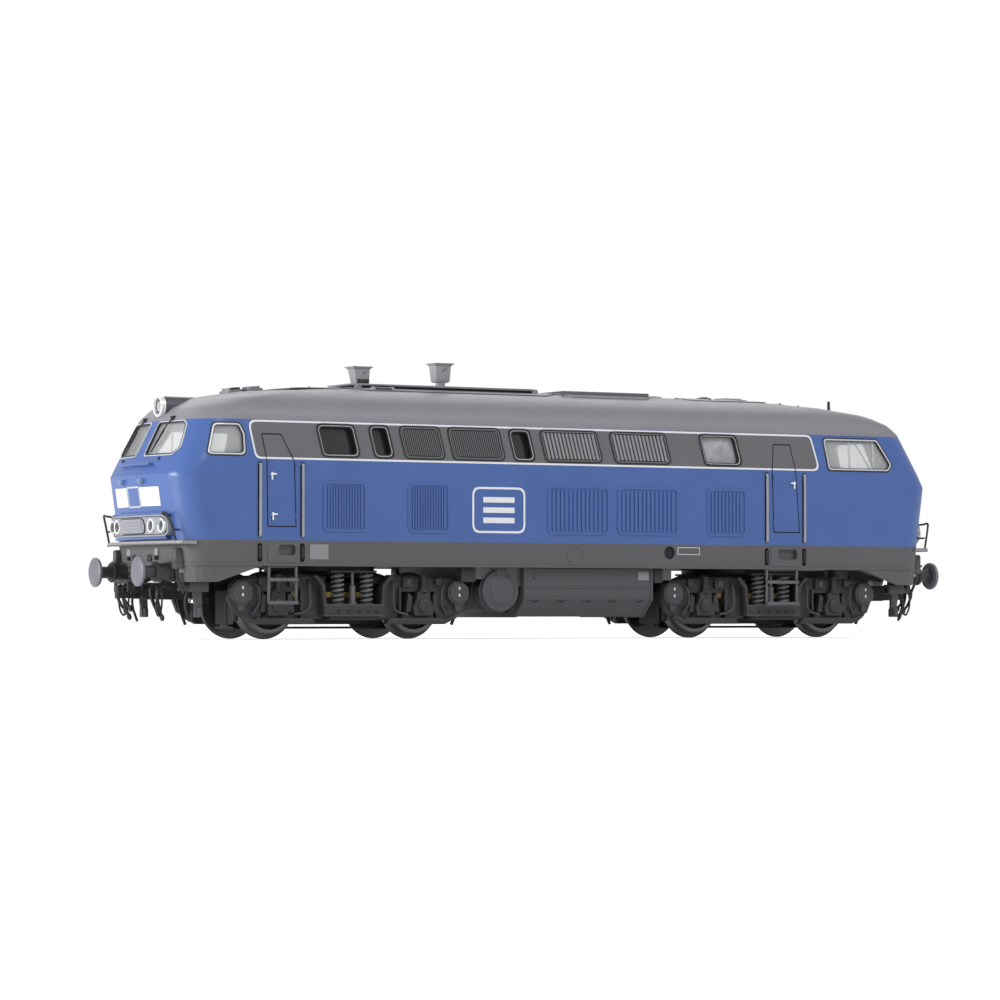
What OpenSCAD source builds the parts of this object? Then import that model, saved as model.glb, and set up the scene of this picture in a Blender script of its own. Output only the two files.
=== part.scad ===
// Model diesel locomotive, 1:87, four axles in two bogies, all driven from one central motor.
// +X runs along the track towards cab 2, +Z is up, Z = 0 is the rail head, X = Y = 0 is the centre.

/* [Body] */
// Length over the buffer faces
buffer_length = 188.4; // [188.4:0.2:190]
// Width of the body over its side walls
body_w = 35; // [35:0.1:35.6]
// Height of the roof crown above the rail head
roof_z = 49.3; // [49.3:0.1:50]
// Wall of the moulded body shell
shell_wall = 1.1; // [0.9:0.05:1.2]

/* [Running gear] */
// Distance between the two bogie pivots
pivot_distance = 98.8; // [98.4:0.2:99.2]
// Distance between the two axles of a bogie
wheelbase = 32.2; // [32:0.1:32.4]
// Tread diameter of the wheels
wheel_d = 11.5; // [11.4:0.1:11.6]
// Distance between the backs of the two wheels on an axle
back_to_back = 14.4; // [14.3:0.1:14.6]
// Width of a wheel
wheel_w = 2.8; // [2.6:0.1:2.8]
// Height of the wheel flange
flange_h = 0.9; // [0.6:0.1:1]
// Diameter of an axle
axle_d = 2; // [1.8:0.1:2]

/* [Gear train] */
// Module of all gears
gear_module = 0.4; // [0.4]
// Teeth of the worm wheel
worm_wheel_teeth = 16; // [16]
// Teeth of an idler gear
idler_teeth = 14; // [14]
// Teeth of an axle gear
axle_gear_teeth = 18; // [18]
// Width of the gears
gear_w = 2.4; // [1.8:0.1:2.6]
// Diameter of the steel pins that carry the idlers
gear_pin_d = 1.5; // [1.4:0.1:1.6]
// Radial clearance of every running fit
running_gap = 0.04; // [0.03:0.01:0.08]

/* [Drive] */
// Diameter of the motor body across its round sides
motor_d = 20.8; // [20:0.2:20.8]
// Height of the motor body over its two flats
motor_h = 15; // [14.4:0.2:15]
// Length of the motor body
motor_l = 26; // [24:0.5:26]
// Diameter of the flywheels
flywheel_d = 14; // [12:0.5:14.4]
// Length of a flywheel
flywheel_l = 8; // [6:0.5:8]

/* [Couplers and buffers] */
// Height of the buffer centres
buffer_z = 12.2; // [12:0.1:12.4]
// Distance from the centre line to a buffer centre
buffer_y = 10.06; // [10:0.02:10.1]
// Diameter of a buffer plate
buffer_d = 5.8; // [5.4:0.1:6]
// Height of the coupler pocket's centre
coupler_z = 8.5; // [8.4:0.1:8.6]

/* [Hidden] */
$fn = 48;
eps = 0.01;

// ---- outline of the body, by height ----
half_w = body_w / 2;
eave_z = 41.7;
skirt_z = 13.35;
apron_z = 10.2;
band_z = 33.5;
buffer_x = buffer_length / 2;
headstock_x = buffer_x - 7.1;
nose_x = buffer_x - 3.7;
nose_z = 31;
crown_z = roof_z + 0.02;
bow_r = 55;
// Height and half length on the centre line
nose_table = [[apron_z, headstock_x + 0.5], [18.5, headstock_x + 1.5], [nose_z, nose_x],
    [34.8, nose_x - 1.9], [42.2, nose_x - 5.7], [44.3, nose_x - 7.8], [46.3, nose_x - 12.3],
    [47.8, nose_x - 21.5], [48.7, nose_x - 33.5], [49.15, nose_x - 50.5], [roof_z, nose_x - 70.5]];
// Height and half width below the eaves
side_table = [[apron_z, half_w - 0.3], [14, half_w], [band_z, half_w], [eave_z, half_w - 1.1]];
corner_table = [[10, 4.5], [nose_z, 5.5], [42.2, 7], [49, 10]];
front_steps = 3;
corner_steps = 4;
outline_points = 2 * (2 * (front_steps + corner_steps) + 1);
roof_levels = [48.3, 48.7, 49, 49.2, roof_z - 0.02];
shell_levels = concat([skirt_z, 14, 18.5, nose_z, band_z, 34.8, 38, eave_z, 43, 44.3, 45.4, 46.3,
    47.1, 47.8], roof_levels);

function eave_share(z) = (z - eave_z) / (crown_z - eave_z);
function half_width(z) = z <= eave_z ? lookup(z, side_table)
    : (half_w - 1.1) * pow(1 - pow(eave_share(z), 2), 1 / 2.4);
function corner_r(z, inset) = max(0.4, min(lookup(z, corner_table), 0.97 * half_width(z)) - inset);
function end_point(l, w, r, k) =
    let (n = abs(k), s = sign(k), cy = w - r,
        cx = l - bow_r + sqrt(pow(bow_r - r, 2) - pow(cy, 2)),
        turn = asin(cy / (bow_r - r)),
        a = n <= front_steps ? turn * n / front_steps
            : turn + (90 - turn) * (n - front_steps) / corner_steps)
    n <= front_steps ? [l - bow_r + bow_r * cos(a), s * bow_r * sin(a)]
        : [cx + r * cos(a), s * (cy + r * sin(a))];
function end_points(l, w, r) = let (n = front_steps + corner_steps)
    [for (k = [-n : n]) end_point(l, w, r, k)];
function outline(z, inset) = let (e = end_points(lookup(z, nose_table) - inset,
        half_width(z) - inset, corner_r(z, inset)))
    concat(e, [for (p = e) [-p[0], -p[1]]]);

// Closed solid through the outlines at the given heights, shrunk all round by inset
module body_loft(levels, inset, drop) {
    n = outline_points;
    last = len(levels) - 1;
    points = [for (z = levels) for (p = outline(z, inset)) [p[0], p[1], z - drop]];
    sides = [for (i = [0 : last - 1]) for (j = [0 : n - 1]) let (k = (j + 1) % n)
        each [[i * n + j, (i + 1) * n + j, (i + 1) * n + k], [i * n + j, (i + 1) * n + k, i * n + k]]];
    floor_face = [for (j = [0 : n - 1]) j];
    top_face = [for (j = [n - 1 : -1 : 0]) last * n + j];
    polyhedron(points, concat([floor_face], sides, [top_face]), convexity = 6);
}

// ---- places along the locomotive ----
bogie_x = pivot_distance / 2;
axle_x = wheelbase / 2;
axle_z = wheel_d / 2;
wheel_back_y = back_to_back / 2;
wheel_front_y = wheel_back_y + wheel_w;
axle_r = axle_d / 2;

// ---- gear train, all four gears of a side lie on one line from the axle to the worm wheel ----
worm_wheel_r = gear_module * worm_wheel_teeth / 2;
idler_r = gear_module * idler_teeth / 2;
axle_gear_r = gear_module * axle_gear_teeth / 2;
train_length = axle_gear_r + 4 * idler_r + worm_wheel_r;
train_rise = sqrt(pow(train_length, 2) - pow(axle_x, 2));
train_angle = -asin(train_rise / train_length);
worm_wheel_z = axle_z + train_rise;
idler_upper_s = worm_wheel_r + idler_r;
idler_lower_s = idler_upper_s + 2 * idler_r;
worm_r = 1.8;
worm_depth = 0.45;
worm_pitch = gear_module * 180 * PI / 180;
worm_turns = 6;
worm_length = worm_turns * worm_pitch;
drive_z = worm_wheel_z + worm_wheel_r + worm_r;
tooth_gap = 0.22;
gear_pin_r = gear_pin_d / 2;

// ---- gear case ----
case_y = 4;
case_slot_y = gear_w / 2 + 0.3;
case_bottom_z = 2;
plate_low_z = 13.5;
plate_top_z = 16.3;
neck_r = 9.5;
shoulder_r = 11;
case_top_z = drive_z + 3.2;
journal_r = 0.75;
bush_r = 1.6;
cup_r = 2.9;
cup_bore_r = 2.5;
cup_near = 5.5;
cup_far = 8;

// ---- drive line ----
flywheel_x = motor_l / 2 + 2;
recess_x = flywheel_x + flywheel_l - 2.5;
cardan_ball_r = 1.4;
motor_low_z = drive_z - motor_h / 2;

// ---- couplers ----
coupler_pivot_x = 76;
pocket_mouth_x = 86.6;
coupler_loop_x = 92.6;

// ---- sides of the body: door, window and louvre places on the side facing -Y ----
door_rail_x = [-71.2, -62, 46.3, 55.7];
ladder_spans = [[-69.3, -62.9], [46.3, 54.3]];
band_low_z = 34.8;
band_top_z = 41;
band_openings = [[-57.9, -49.9], [-46.4, -42.3], [-39.6, -30.8], [-28.7, -17.1], [-14.7, -10.1],
    [-7.4, 5.7], [9, 22.2], [30.7, 39.6]];
louvre_spans = [[-57.5, -48], [-38.7, -29.3], [-6.7, 7.8], [9.8, 24.4], [31.5, 41.1]];
louvre_low_z = 20.1;
louvre_top_z = 29.9;
fan_x = 13.5;
hood_x = [-40.5, -21.8];
stub_r = 1.15;
headlight_z = 44.6;
press_gap = 0.01;
lamp_y = [-11, -7.6, 7.6, 11];
lamp_z = 21.1;

module at_both_ends() {
    for (turn = [0, 180]) rotate([0, 0, turn]) children();
}

module at_bogie(side) {
    rotate([0, 0, side > 0 ? 0 : 180]) translate([bogie_x, 0, 0]) children();
}

module lay_x(x, y, z) {
    translate([x, y, z]) rotate([0, 90, 0]) children();
}

module lay_y(x, y, z) {
    translate([x, y, z]) rotate([90, 0, 0]) children();
}

module block(low, high) {
    translate(low) cube(high - low);
}

module rod(from, to, r, sides = 16) {
    d = to - from;
    translate(from)
        rotate([0, acos(d[2] / norm(d)), atan2(d[1], d[0])])
            cylinder(h = norm(d), r = r, $fn = sides);
}

// ---- body shell and what is plugged into it ----
// Small and large cab side windows, as seen on the side facing -Y
module side_window_prisms(grow) {
    lay_y(0, -12.5, 0) linear_extrude(height = 8) {
        polygon([[-82 - grow, 35.2 - grow], [-80.2 - grow, 40.6 + grow], [-75.3 + grow, 40.6 + grow],
            [-74.4 + grow, 38.6], [-74.4 + grow, 35.2 - grow]]);
        polygon([[61.3 - grow, 40.6 + grow], [74.9 + grow, 40.6 + grow], [77.9 + grow, 36],
            [77 + grow, 34.6 - grow], [62.3 - grow, 34.6 - grow]]);
    }
}

// The two panes of a windscreen, at the +X end
module windscreen_prisms(grow) {
    for (side = [-1, 1])
        translate([72, 0, 0]) rotate([90, 0, 90]) linear_extrude(height = 16)
            polygon([[side * (2 - grow), 34.9 - grow], [side * (1.8 - grow), 41.3 + grow],
                [side * (10.9 + grow), 41.3 + grow], [side * (11.9 + grow), 40.4],
                [side * (13.3 + grow), 36.2], [side * (11.8 + grow), 34.9 - grow]]);
}

module band_prisms() {
    for (span = band_openings)
        lay_y(0, -14, 0) linear_extrude(height = 6)
            polygon([[span[0] - 0.6, band_top_z], [span[1] - 0.6, band_top_z],
                [span[1] + 0.6, band_low_z], [span[0] + 0.6, band_low_z]]);
}

module louvre_panel(span) {
    slats = 7;
    pitch = (span[1] - span[0] - 1) / slats;
    difference() {
        block([span[0], -half_w - 0.25, louvre_low_z], [span[1], -half_w + 0.5, louvre_top_z]);
        for (i = [0 : slats - 1])
            block([span[0] + 0.5 + (i + 0.3) * pitch, -half_w - 0.5, louvre_low_z + 0.6],
                [span[0] + 0.5 + (i + 0.8) * pitch, -half_w, louvre_top_z - 0.6]);
    }
}

module shell_post(x, y) {
    difference() {
        block([x - 2, y - 2, plate_top_z], [x + 2, y + 4.2, 26]);
        translate([x, y, plate_top_z - 1]) cylinder(h = 8, r = 0.8, $fn = 24);
    }
}

module body_skin() {
    difference() {
        body_loft(shell_levels, 0, 0);
        body_loft(shell_levels, shell_wall, 1.05);
        at_both_ends() {
            side_window_prisms(0);
            windscreen_prisms(0);
            band_prisms();
        }
        block([fan_x - 9, -6.5, 46], [fan_x + 9, 6.5, 52]);
    }
}

// Lamp housing, running board and headlight tube of the +X nose
module lamp_panel() {
    intersection() {
        body_loft([lamp_z - 1.9, lamp_z + 1.9], -0.9, 0);
        block([headstock_x - 3, -12.6, lamp_z - 2], [buffer_x, 12.6, lamp_z + 2]);
    }
    intersection() {
        translate([nose_x - bow_r, 0, 17.4]) cylinder(h = 0.6, r = bow_r, $fn = 180);
        block([headstock_x - 3, -17.2, 17], [buffer_x, 17.2, 19]);
    }
    lay_x(76, 0, headlight_z) cylinder(h = 9, r = 2.1);
}

module body_shell() {
    color([0.12, 0.3, 0.66]) difference() {
        union() {
            body_skin();
            at_both_ends() {
                lamp_panel();
                for (span = louvre_spans) louvre_panel(span);
                for (x = [-33, 33]) shell_post(x, 12.5);
            }
        }
        for (x = hood_x) translate([x, 0, 46]) cylinder(h = 6, r = stub_r + 0.05);
        at_both_ends() {
            lay_x(82, 0, headlight_z) cylinder(h = 6, r = 1.5);
            for (y = lamp_y) lay_x(nose_x - 9, y, lamp_z) cylinder(h = 12, r = 1.15, $fn = 32);
        }
    }
}

// Lower front with the buffer beam, plugged into the shell from below
module end_aprons() {
    tongue_z = skirt_z + 1.9;
    color([0.28, 0.28, 0.3]) difference() {
        union() {
            difference() {
                body_loft([apron_z, skirt_z], 0, 0);
                body_loft([apron_z - eps, skirt_z + eps], shell_wall, 0);
            }
            difference() {
                body_loft([skirt_z - 1, tongue_z], shell_wall + 0.05, 0);
                body_loft([skirt_z - 1 - eps, tongue_z + eps], shell_wall + 0.9, 0);
            }
            difference() {
                body_loft([skirt_z - 1, skirt_z - eps], shell_wall - 0.3, 0);
                body_loft([skirt_z - 1 - eps, skirt_z], shell_wall + 0.4, 0);
            }
        }
        lay_y(0, half_w + 1, 0) linear_extrude(height = body_w + 2)
            polygon([[-80.1, 5], [-80.1, apron_z], [-70.7, skirt_z], [-70.7, tongue_z + 1],
                [70.7, tongue_z + 1], [70.7, skirt_z], [80.1, apron_z], [80.1, 5]]);
        at_both_ends() {
            for (y = [-buffer_y, buffer_y])
                lay_x(headstock_x - 4, y, buffer_z) cylinder(h = 10, r = 1, $fn = 24);
            block([80, -4.2, apron_z - 1], [nose_x, 4.2, 11.4]);
        }
    }
}

// Rim between the outer skin and the glazing line, cut to the window prisms
module glass_skin() {
    difference() {
        body_loft([band_z, 34.8, 38, eave_z], 0.35, 0);
        body_loft([band_z - eps, 34.8, 38, eave_z + eps], 0.95, 0);
    }
}

module cab_glazing() {
    color([0.75, 0.82, 0.85, 0.5]) at_both_ends() {
        intersection() {
            glass_skin();
            side_window_prisms(-0.02);
        }
        intersection() {
            glass_skin();
            windscreen_prisms(-0.02);
        }
    }
}

module engine_room_glazing() {
    lean = atan(1.1 / (eave_z - band_z));
    color([0.08, 0.09, 0.1, 0.8]) at_both_ends()
        for (span = band_openings)
            translate([0, -half_w + shell_wall + 0.24, band_z]) rotate([-lean, 0, 0])
                block([span[0] - 0.8, 0, 0.6], [span[1] + 0.8, 0.6, 7.6]);
}

module radiator_grille() {
    low = 48.4;
    top = 50.2;
    color([0.25, 0.25, 0.27]) difference() {
        block([fan_x - 10, -7.6, low], [fan_x + 10, 7.6, top]);
        block([fan_x - 9.2, -6.8, low - 1], [fan_x + 9.2, 6.8, top - 0.4]);
        for (i = [0 : 5], j = [0 : 3])
            block([fan_x - 8.7 + i * 3, -6.2 + j * 3.2, low - 1],
                [fan_x - 8.7 + i * 3 + 2.4, -6.2 + j * 3.2 + 2.6, top + 1]);
        intersection() {
            body_loft(roof_levels, 0, 0);
            block([fan_x - 12, -9, 48], [fan_x + 12, 9, 50]);
        }
    }
}

module cooling_fan() {
    color([0.15, 0.15, 0.16]) translate([fan_x, 0, 0]) {
        difference() {
            translate([0, 0, 45]) cylinder(h = 2.6, r = 6.4);
            translate([0, 0, 44]) cylinder(h = 5, r = 5.9);
        }
        translate([0, 0, 45.2]) cylinder(h = 2, r = 1.6);
        for (a = [0 : 60 : 300]) rotate([0, 0, a]) translate([3.6, 0, 46.2])
            rotate([25, 0, 0]) cube([4.9, 1.8, 0.4], center = true);
        for (side = [-1, 1]) block([side * 7.4 - 1.2, -1, 45], [side * 7.4 + 1.2, 1, 46]);
    }
}

module exhaust_hood(x, top_z, base_z, top_w, base_w) {
    translate([x, 0, 0]) {
        translate([0, 0, 47.4]) cylinder(h = base_z - 47.2, r = stub_r, $fn = 24);
        hull() {
            translate([0, 0, base_z + 0.05]) cube([base_w, base_w, 0.1], center = true);
            translate([0, 0, top_z - 1]) cube([top_w, top_w * 0.9, 0.1], center = true);
        }
        translate([0, 0, top_z - 0.5]) cube([top_w + 0.4, top_w * 0.9 + 0.4, 1], center = true);
    }
}

module roof_fittings() {
    color([0.3, 0.3, 0.32]) difference() {
        union() {
            for (x = [-69, -64.5]) translate([x, 0, 47]) cylinder(h = 2.7, r = 1.9);
            block([-46, -5.4, 48], [-2, 5.4, 50.1]);
            translate([28.8, 0, 48]) cylinder(h = 1.9, r = 2.4);
            translate([42, 0, 48]) cylinder(h = 1.7, r = 1.3);
            block([44.5, -2.6, 48], [51.5, 2.6, 49.7]);
            translate([60, 0, 47]) cylinder(h = 2.3, r = 1.6);
            translate([74.1, 0, 46]) cylinder(h = 4, r = 0.35, $fn = 16);
        }
        body_loft(concat([45.4, 46.3, 47.1, 47.8], roof_levels), 0, 0);
        for (x = hood_x) translate([x, 0, 46]) cylinder(h = 6, r = stub_r + 0.05);
    }
    color([0.5, 0.5, 0.52]) {
        exhaust_hood(hood_x[0], 53.7, 50.15, 5.8, 3.4);
        exhaust_hood(hood_x[1], 55, 50.4, 5.8, 3.2);
    }
}

module lamp_lenses() {
    color([0.92, 0.92, 0.85, 0.7]) at_both_ends() {
        lay_x(83.7, 0, headlight_z) cylinder(h = 1, r = 1.46, $fn = 32);
        for (y = lamp_y)
            lay_x(nose_x - 4.8, y, lamp_z) cylinder(h = 3.8, r = 1.1, $fn = 32);
    }
}

// Forward reach of the bowed nose at a place on its face
function face_x(y, z) = lookup(z, nose_table) - bow_r + sqrt(pow(bow_r, 2) - pow(y, 2));
function over_face(y, z, gap) = [face_x(y, z) + gap, y, z];

// Arm, blade and pivot of one wiper, at the +X end
module wiper(y) {
    rod(over_face(y, 42.4, 0.5), over_face(y + 2.8, 37.2, 0.5), 0.18, 12);
    rod(over_face(y + 1.2, 39.8, 0.5), over_face(y + 3.3, 35.8, 0.5), 0.22, 12);
    lay_x(face_x(y, 42.1) + 0.03, y, 42.5) cylinder(h = 0.8, r = 0.35, $fn = 16);
}

module windscreen_wipers() {
    color([0.1, 0.1, 0.1]) at_both_ends() {
        wiper(-7);
        wiper(6.7);
    }
}

module door_rail(x) {
    y = -half_w - 0.9;
    rod([x, y, 18.9], [x, y, 33.3], 0.25);
    for (z = [19.3, 32.9]) rod([x, y, z], [x, -half_w, z], 0.22);
}

module nose_rail(side) {
    x = headstock_x + 1.2;
    y = side * 14.4;
    rod([x, y, 18], [x, y, 24.1], 0.25);
    rod([face_x(y, 23.7) + 0.05, y, 23.7], [x, y, 23.7], 0.22);
}

module handrails() {
    bar_x = face_x(0, 33.1) + 0.6;
    color([0.1, 0.1, 0.11]) at_both_ends() {
        for (x = door_rail_x) door_rail(x);
        for (side = [-1, 1]) nose_rail(side);
        rod([bar_x, -7.3, 33.1], [bar_x, 7.3, 33.1], 0.25);
        for (y = [-7, 7]) rod([face_x(y, 33.1) + 0.2, y, 33.1], [bar_x, y, 33.1], 0.22);
    }
}

module buffer(y) {
    translate([0, y, buffer_z]) rotate([0, 90, 0]) {
        translate([0, 0, headstock_x - 3]) cylinder(h = 6, r = 0.95, $fn = 24);
        translate([0, 0, headstock_x + 0.3]) cylinder(h = 3.4, r = 1.9);
        translate([0, 0, headstock_x + 3]) cylinder(h = 3.6, r = 1.2);
        translate([0, 0, buffer_x - 0.8]) cylinder(h = 0.8, r = buffer_d / 2);
    }
}

module buffers() {
    color([0.36, 0.36, 0.4]) at_both_ends() for (y = [-buffer_y, buffer_y]) buffer(y);
}

module brake_hose(y) {
    bend_r = 1.5;
    translate([headstock_x + 0.4, y, 9.4]) {
        rotate([0, 90, 0]) cylinder(h = 1.4, r = 0.55, $fn = 20);
        translate([1.4, 0, -bend_r]) rotate([90, 0, 0])
            rotate_extrude(angle = 90, $fn = 32) translate([bend_r, 0]) circle(r = 0.42, $fn = 16);
        translate([1.4 + bend_r, 0, -bend_r - 2.6]) cylinder(h = 2.6, r = 0.42, $fn = 16);
        translate([1.4 + bend_r, 0, -bend_r - 3.6]) cylinder(h = 1, r = 0.6, $fn = 20);
    }
}

module brake_hoses() {
    color([0.08, 0.08, 0.08]) at_both_ends() {
        for (y = [-6.8, 6.8]) {
            brake_hose(y);
            block([headstock_x - 4, y - 1.1, 8.6], [headstock_x + 0.4, y + 1.1, apron_z]);
        }
    }
}

module ladder(span) {
    low = -half_w + 0.1;
    high = -half_w + 1.1;
    z = 6.2;
    for (x = [span[0], span[1] - 0.5]) block([x, low, z], [x + 0.5, high, skirt_z]);
    for (step_z = [z, 10.6]) block([span[0], low, step_z], [span[1], high, step_z + 0.5]);
}

module footsteps() {
    color([0.3, 0.3, 0.33]) at_both_ends() {
        for (span = ladder_spans) ladder(span);
        for (y = [-12.5, 12.5]) {
            block([81.2, y - 0.35, 3.6], [82.4, y + 0.35, 9.2]);
            block([80.2, y - 0.35, 8.4], [86.4, y + 0.35, 9.2]);
            block([85.2, y - 0.35, 8.6], [86.2, y + 0.35, apron_z]);
        }
    }
}

// ---- frame and what is fixed to it ----
module frame_boss(x) {
    translate([x, 0, 7.2]) cylinder(h = plate_low_z - 7.1, r = 1.4, $fn = 32);
    translate([x, 0, 10.4]) cylinder(h = plate_low_z - 10.3, r = 2.4, $fn = 32);
}

module chassis_frame() {
    well_x = flywheel_x + flywheel_l + 0.4;
    well_y = 10.9;
    wall_y = 14.6;
    color([0.35, 0.36, 0.37]) difference() {
        union() {
            block([-82.5, -wall_y, plate_low_z], [82.5, wall_y, plate_top_z]);
            block([-14, -wall_y, 9.6], [14, wall_y, 21]);
            block([-well_x - 1.2, -wall_y, 11], [well_x + 1.2, wall_y, 21]);
            at_both_ends() {
                frame_boss(coupler_pivot_x);
                block([62, -12.6, plate_top_z - eps], [77, 12.6, 24]);
                for (y = [-12.4, 12.4]) translate([23, y, 20.9]) cylinder(h = 9.1, r = 1.8);
            }
        }
        block([-13.5, -well_y, motor_low_z], [13.5, well_y, 31]);
        block([-well_x, -well_y, drive_z - flywheel_d / 2 - 0.3], [well_x, well_y, 31]);
        block([-well_x - 5, -3.6, 15], [well_x + 5, 3.6, 31]);
        at_both_ends() {
            translate([bogie_x, 0, plate_low_z - 1]) cylinder(h = 4, r = neck_r + 0.1, $fn = 96);
            for (y = [-12.5, 12.5]) {
                translate([33, y, plate_low_z - 1]) cylinder(h = 5, r = 1.1, $fn = 24);
                translate([33, y, plate_low_z - 1]) cylinder(h = 2.1, r = 2, $fn = 24);
                translate([23, y, 24]) cylinder(h = 8, r = 0.8, $fn = 24);
            }
        }
    }
}

module fuel_tank() {
    low_z = 3.5;
    top_z = 13.2;
    color([0.3, 0.3, 0.33]) difference() {
        lay_x(-11.2, 0, 0) rotate([0, 0, 90]) linear_extrude(height = 30.2)
            polygon([[-15.9, top_z], [15.9, top_z], [15.9, 7], [12.2, low_z], [-12.2, low_z],
                [-15.9, 7]]);
        block([-12, -14.65, 9.6], [20, 14.65, top_z + 1]);
        block([-9.8, -13.2, 5], [17.6, 13.2, 10]);
    }
}

module air_tanks() {
    tank_x = -16.4;
    color([0.3, 0.3, 0.33]) difference() {
        union() {
            lay_y(tank_x, 15.4, 8.7) cylinder(h = 30.8, r = 4.1);
            lay_y(tank_x, 15.9, 8.7) cylinder(h = 31.8, r = 2.6);
        }
        block([-25, -14.65, 9.6], [0, 14.65, 20]);
    }
}

module cab_interior() {
    block([58.5, -13, 24], [78.5, 13, 25]);
    block([58.5, -13, 25 - eps], [59.5, 13, 40]);
    block([72.5, -11.5, 25 - eps], [78.5, 11.5, 30.5]);
    block([73.5, -10.5, 30.5 - eps], [77.5, 10.5, 31.4]);
    for (y = [-7, 7]) {
        translate([66.5, y, 25 - eps]) cylinder(h = 3, r = 0.8, $fn = 24);
        block([64.5, y - 2, 27.6], [68.5, y + 2, 28.8]);
        block([64.3, y - 2, 28.8 - eps], [65.2, y + 2, 34]);
    }
}

module cab_interiors() {
    color([0.45, 0.47, 0.45]) at_both_ends() cab_interior();
}

module circuit_board() {
    color([0.1, 0.35, 0.18]) {
        difference() {
            block([-36, -14, 30], [36, 14, 31.2]);
            for (x = [-23, 23], y = [-12.4, 12.4])
                translate([x, y, 29]) cylinder(h = 4, r = 1.1, $fn = 24);
        }
        block([-14, -7, 31.2 - eps], [8, 7, 34]);
        block([14, -9, 31.2 - eps], [32, 9, 36]);
        for (x = [-24, -28]) block([x, -3, 31.2 - eps], [x + 2, 3, 32.4]);
    }
}

module frame_screws() {
    color([0.6, 0.6, 0.6]) at_both_ends() {
        for (y = [-12.5, 12.5]) {
            translate([33, y, plate_low_z]) cylinder(h = 9, r = 0.79, $fn = 24);
            difference() {
                translate([33, y, plate_low_z]) cylinder(h = 1.1, r = 1.9, $fn = 24);
                block([31, y - 0.2, plate_low_z - 1], [35, y + 0.2, plate_low_z + 0.5]);
            }
            translate([23, y, 25]) cylinder(h = 6.3, r = 0.79, $fn = 24);
            translate([23, y, 31.25]) cylinder(h = 1, r = 1.9, $fn = 24);
        }
        difference() {
            translate([coupler_pivot_x, 0, 6.2]) cylinder(h = 1, r = 2, $fn = 24);
            block([coupler_pivot_x - 3, -0.2, 6], [coupler_pivot_x + 3, 0.2, 6.6]);
        }
    }
}

// ---- motor and shafts ----
module motor_housing() {
    end_wall = 1.4;
    color([0.7, 0.7, 0.7]) difference() {
        intersection() {
            lay_x(-motor_l / 2, 0, drive_z) cylinder(h = motor_l, r = motor_d / 2, $fn = 64);
            block([-motor_l, -motor_d, motor_low_z], [motor_l, motor_d, motor_low_z + motor_h]);
        }
        lay_x(-motor_l / 2 + end_wall, 0, drive_z)
            cylinder(h = motor_l - 2 * end_wall, r = motor_h / 2 - 0.7, $fn = 64);
        lay_x(-motor_l, 0, drive_z) cylinder(h = 2 * motor_l, r = axle_r + running_gap);
    }
}

module motor_rotor() {
    core_l = motor_l - 9;
    poles = 5;
    color([0.55, 0.35, 0.2]) union() {
        lay_x(-recess_x, 0, drive_z) cylinder(h = 2 * recess_x, r = axle_r);
        lay_x(-core_l / 2 + 1.5, 0, drive_z) difference() {
            cylinder(h = core_l, r = 6.2);
            for (i = [0 : poles - 1]) rotate([0, 0, i * 360 / poles])
                translate([3, -0.6, -1]) cube([6, 1.2, core_l + 2]);
        }
        lay_x(-motor_l / 2 + 2.2, 0, drive_z) cylinder(h = 3.6, r = 2.6);
    }
}

module flywheels() {
    color([0.75, 0.62, 0.3]) for (side = [-1, 1])
        rotate([0, 0, side > 0 ? 0 : 180]) difference() {
            lay_x(flywheel_x, 0, drive_z) cylinder(h = flywheel_l, r = flywheel_d / 2, $fn = 64);
            lay_x(flywheel_x - 1, 0, drive_z) cylinder(h = flywheel_l + 2, r = axle_r);
            lay_x(recess_x, 0, drive_z) cylinder(h = 4, r = 2.2);
        }
}

// Shaft with a round driving head at each end, at the +X end of the locomotive
module cardan() {
    near = recess_x + 0.4;
    far = bogie_x - cup_near - 0.9;
    color([0.15, 0.15, 0.15]) {
        lay_x(near, 0, drive_z) cylinder(h = far - near, r = 0.9, $fn = 32);
        lay_x(near, 0, drive_z) cylinder(h = 1.6, r = 1.5, $fn = 32);
        lay_x(far - 1.4, 0, drive_z) cylinder(h = 1.4, r = cardan_ball_r, $fn = 32);
    }
}

module cardan_shaft_1() { rotate([0, 0, 180]) cardan(); }
module cardan_shaft_2() { cardan(); }

// ---- gears; angles are measured in the XZ plane from +X towards +Z ----
module gear_outline(teeth) {
    pitch_r = gear_module * teeth / 2;
    tip_r = pitch_r + 0.8 * gear_module;
    root_r = pitch_r - 1.25 * gear_module;
    half_tooth = (PI * gear_module / 4 - tooth_gap / 2) / pitch_r * 180 / PI;
    polygon([for (i = [0 : teeth - 1]) let (a = i * 360 / teeth)
        each [[root_r * cos(a - 1.7 * half_tooth), root_r * sin(a - 1.7 * half_tooth)],
            [tip_r * cos(a - 0.5 * half_tooth), tip_r * sin(a - 0.5 * half_tooth)],
            [tip_r * cos(a + 0.5 * half_tooth), tip_r * sin(a + 0.5 * half_tooth)],
            [root_r * cos(a + 1.7 * half_tooth), root_r * sin(a + 1.7 * half_tooth)]]]);
}

// Phase of the next gear so that its gap meets the tooth of the one before
function next_phase(phase, teeth, direction, next_teeth) =
    direction + 180 - (phase - direction) * teeth / next_teeth + 180 / next_teeth;

function train_direction(side) = side > 0 ? train_angle : 180 - train_angle;
function upper_phase(side) = next_phase(90, worm_wheel_teeth, train_direction(side), idler_teeth);
function lower_phase(side) = next_phase(upper_phase(side), idler_teeth, train_direction(side),
    idler_teeth);
function axle_phase(side) = next_phase(lower_phase(side), idler_teeth, train_direction(side),
    axle_gear_teeth);

// Place at distance s down the train, on the given side of the bogie
module on_train(side, s) {
    lay_y(side * s * cos(train_angle), 0, worm_wheel_z + s * sin(train_angle)) children();
}

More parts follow.
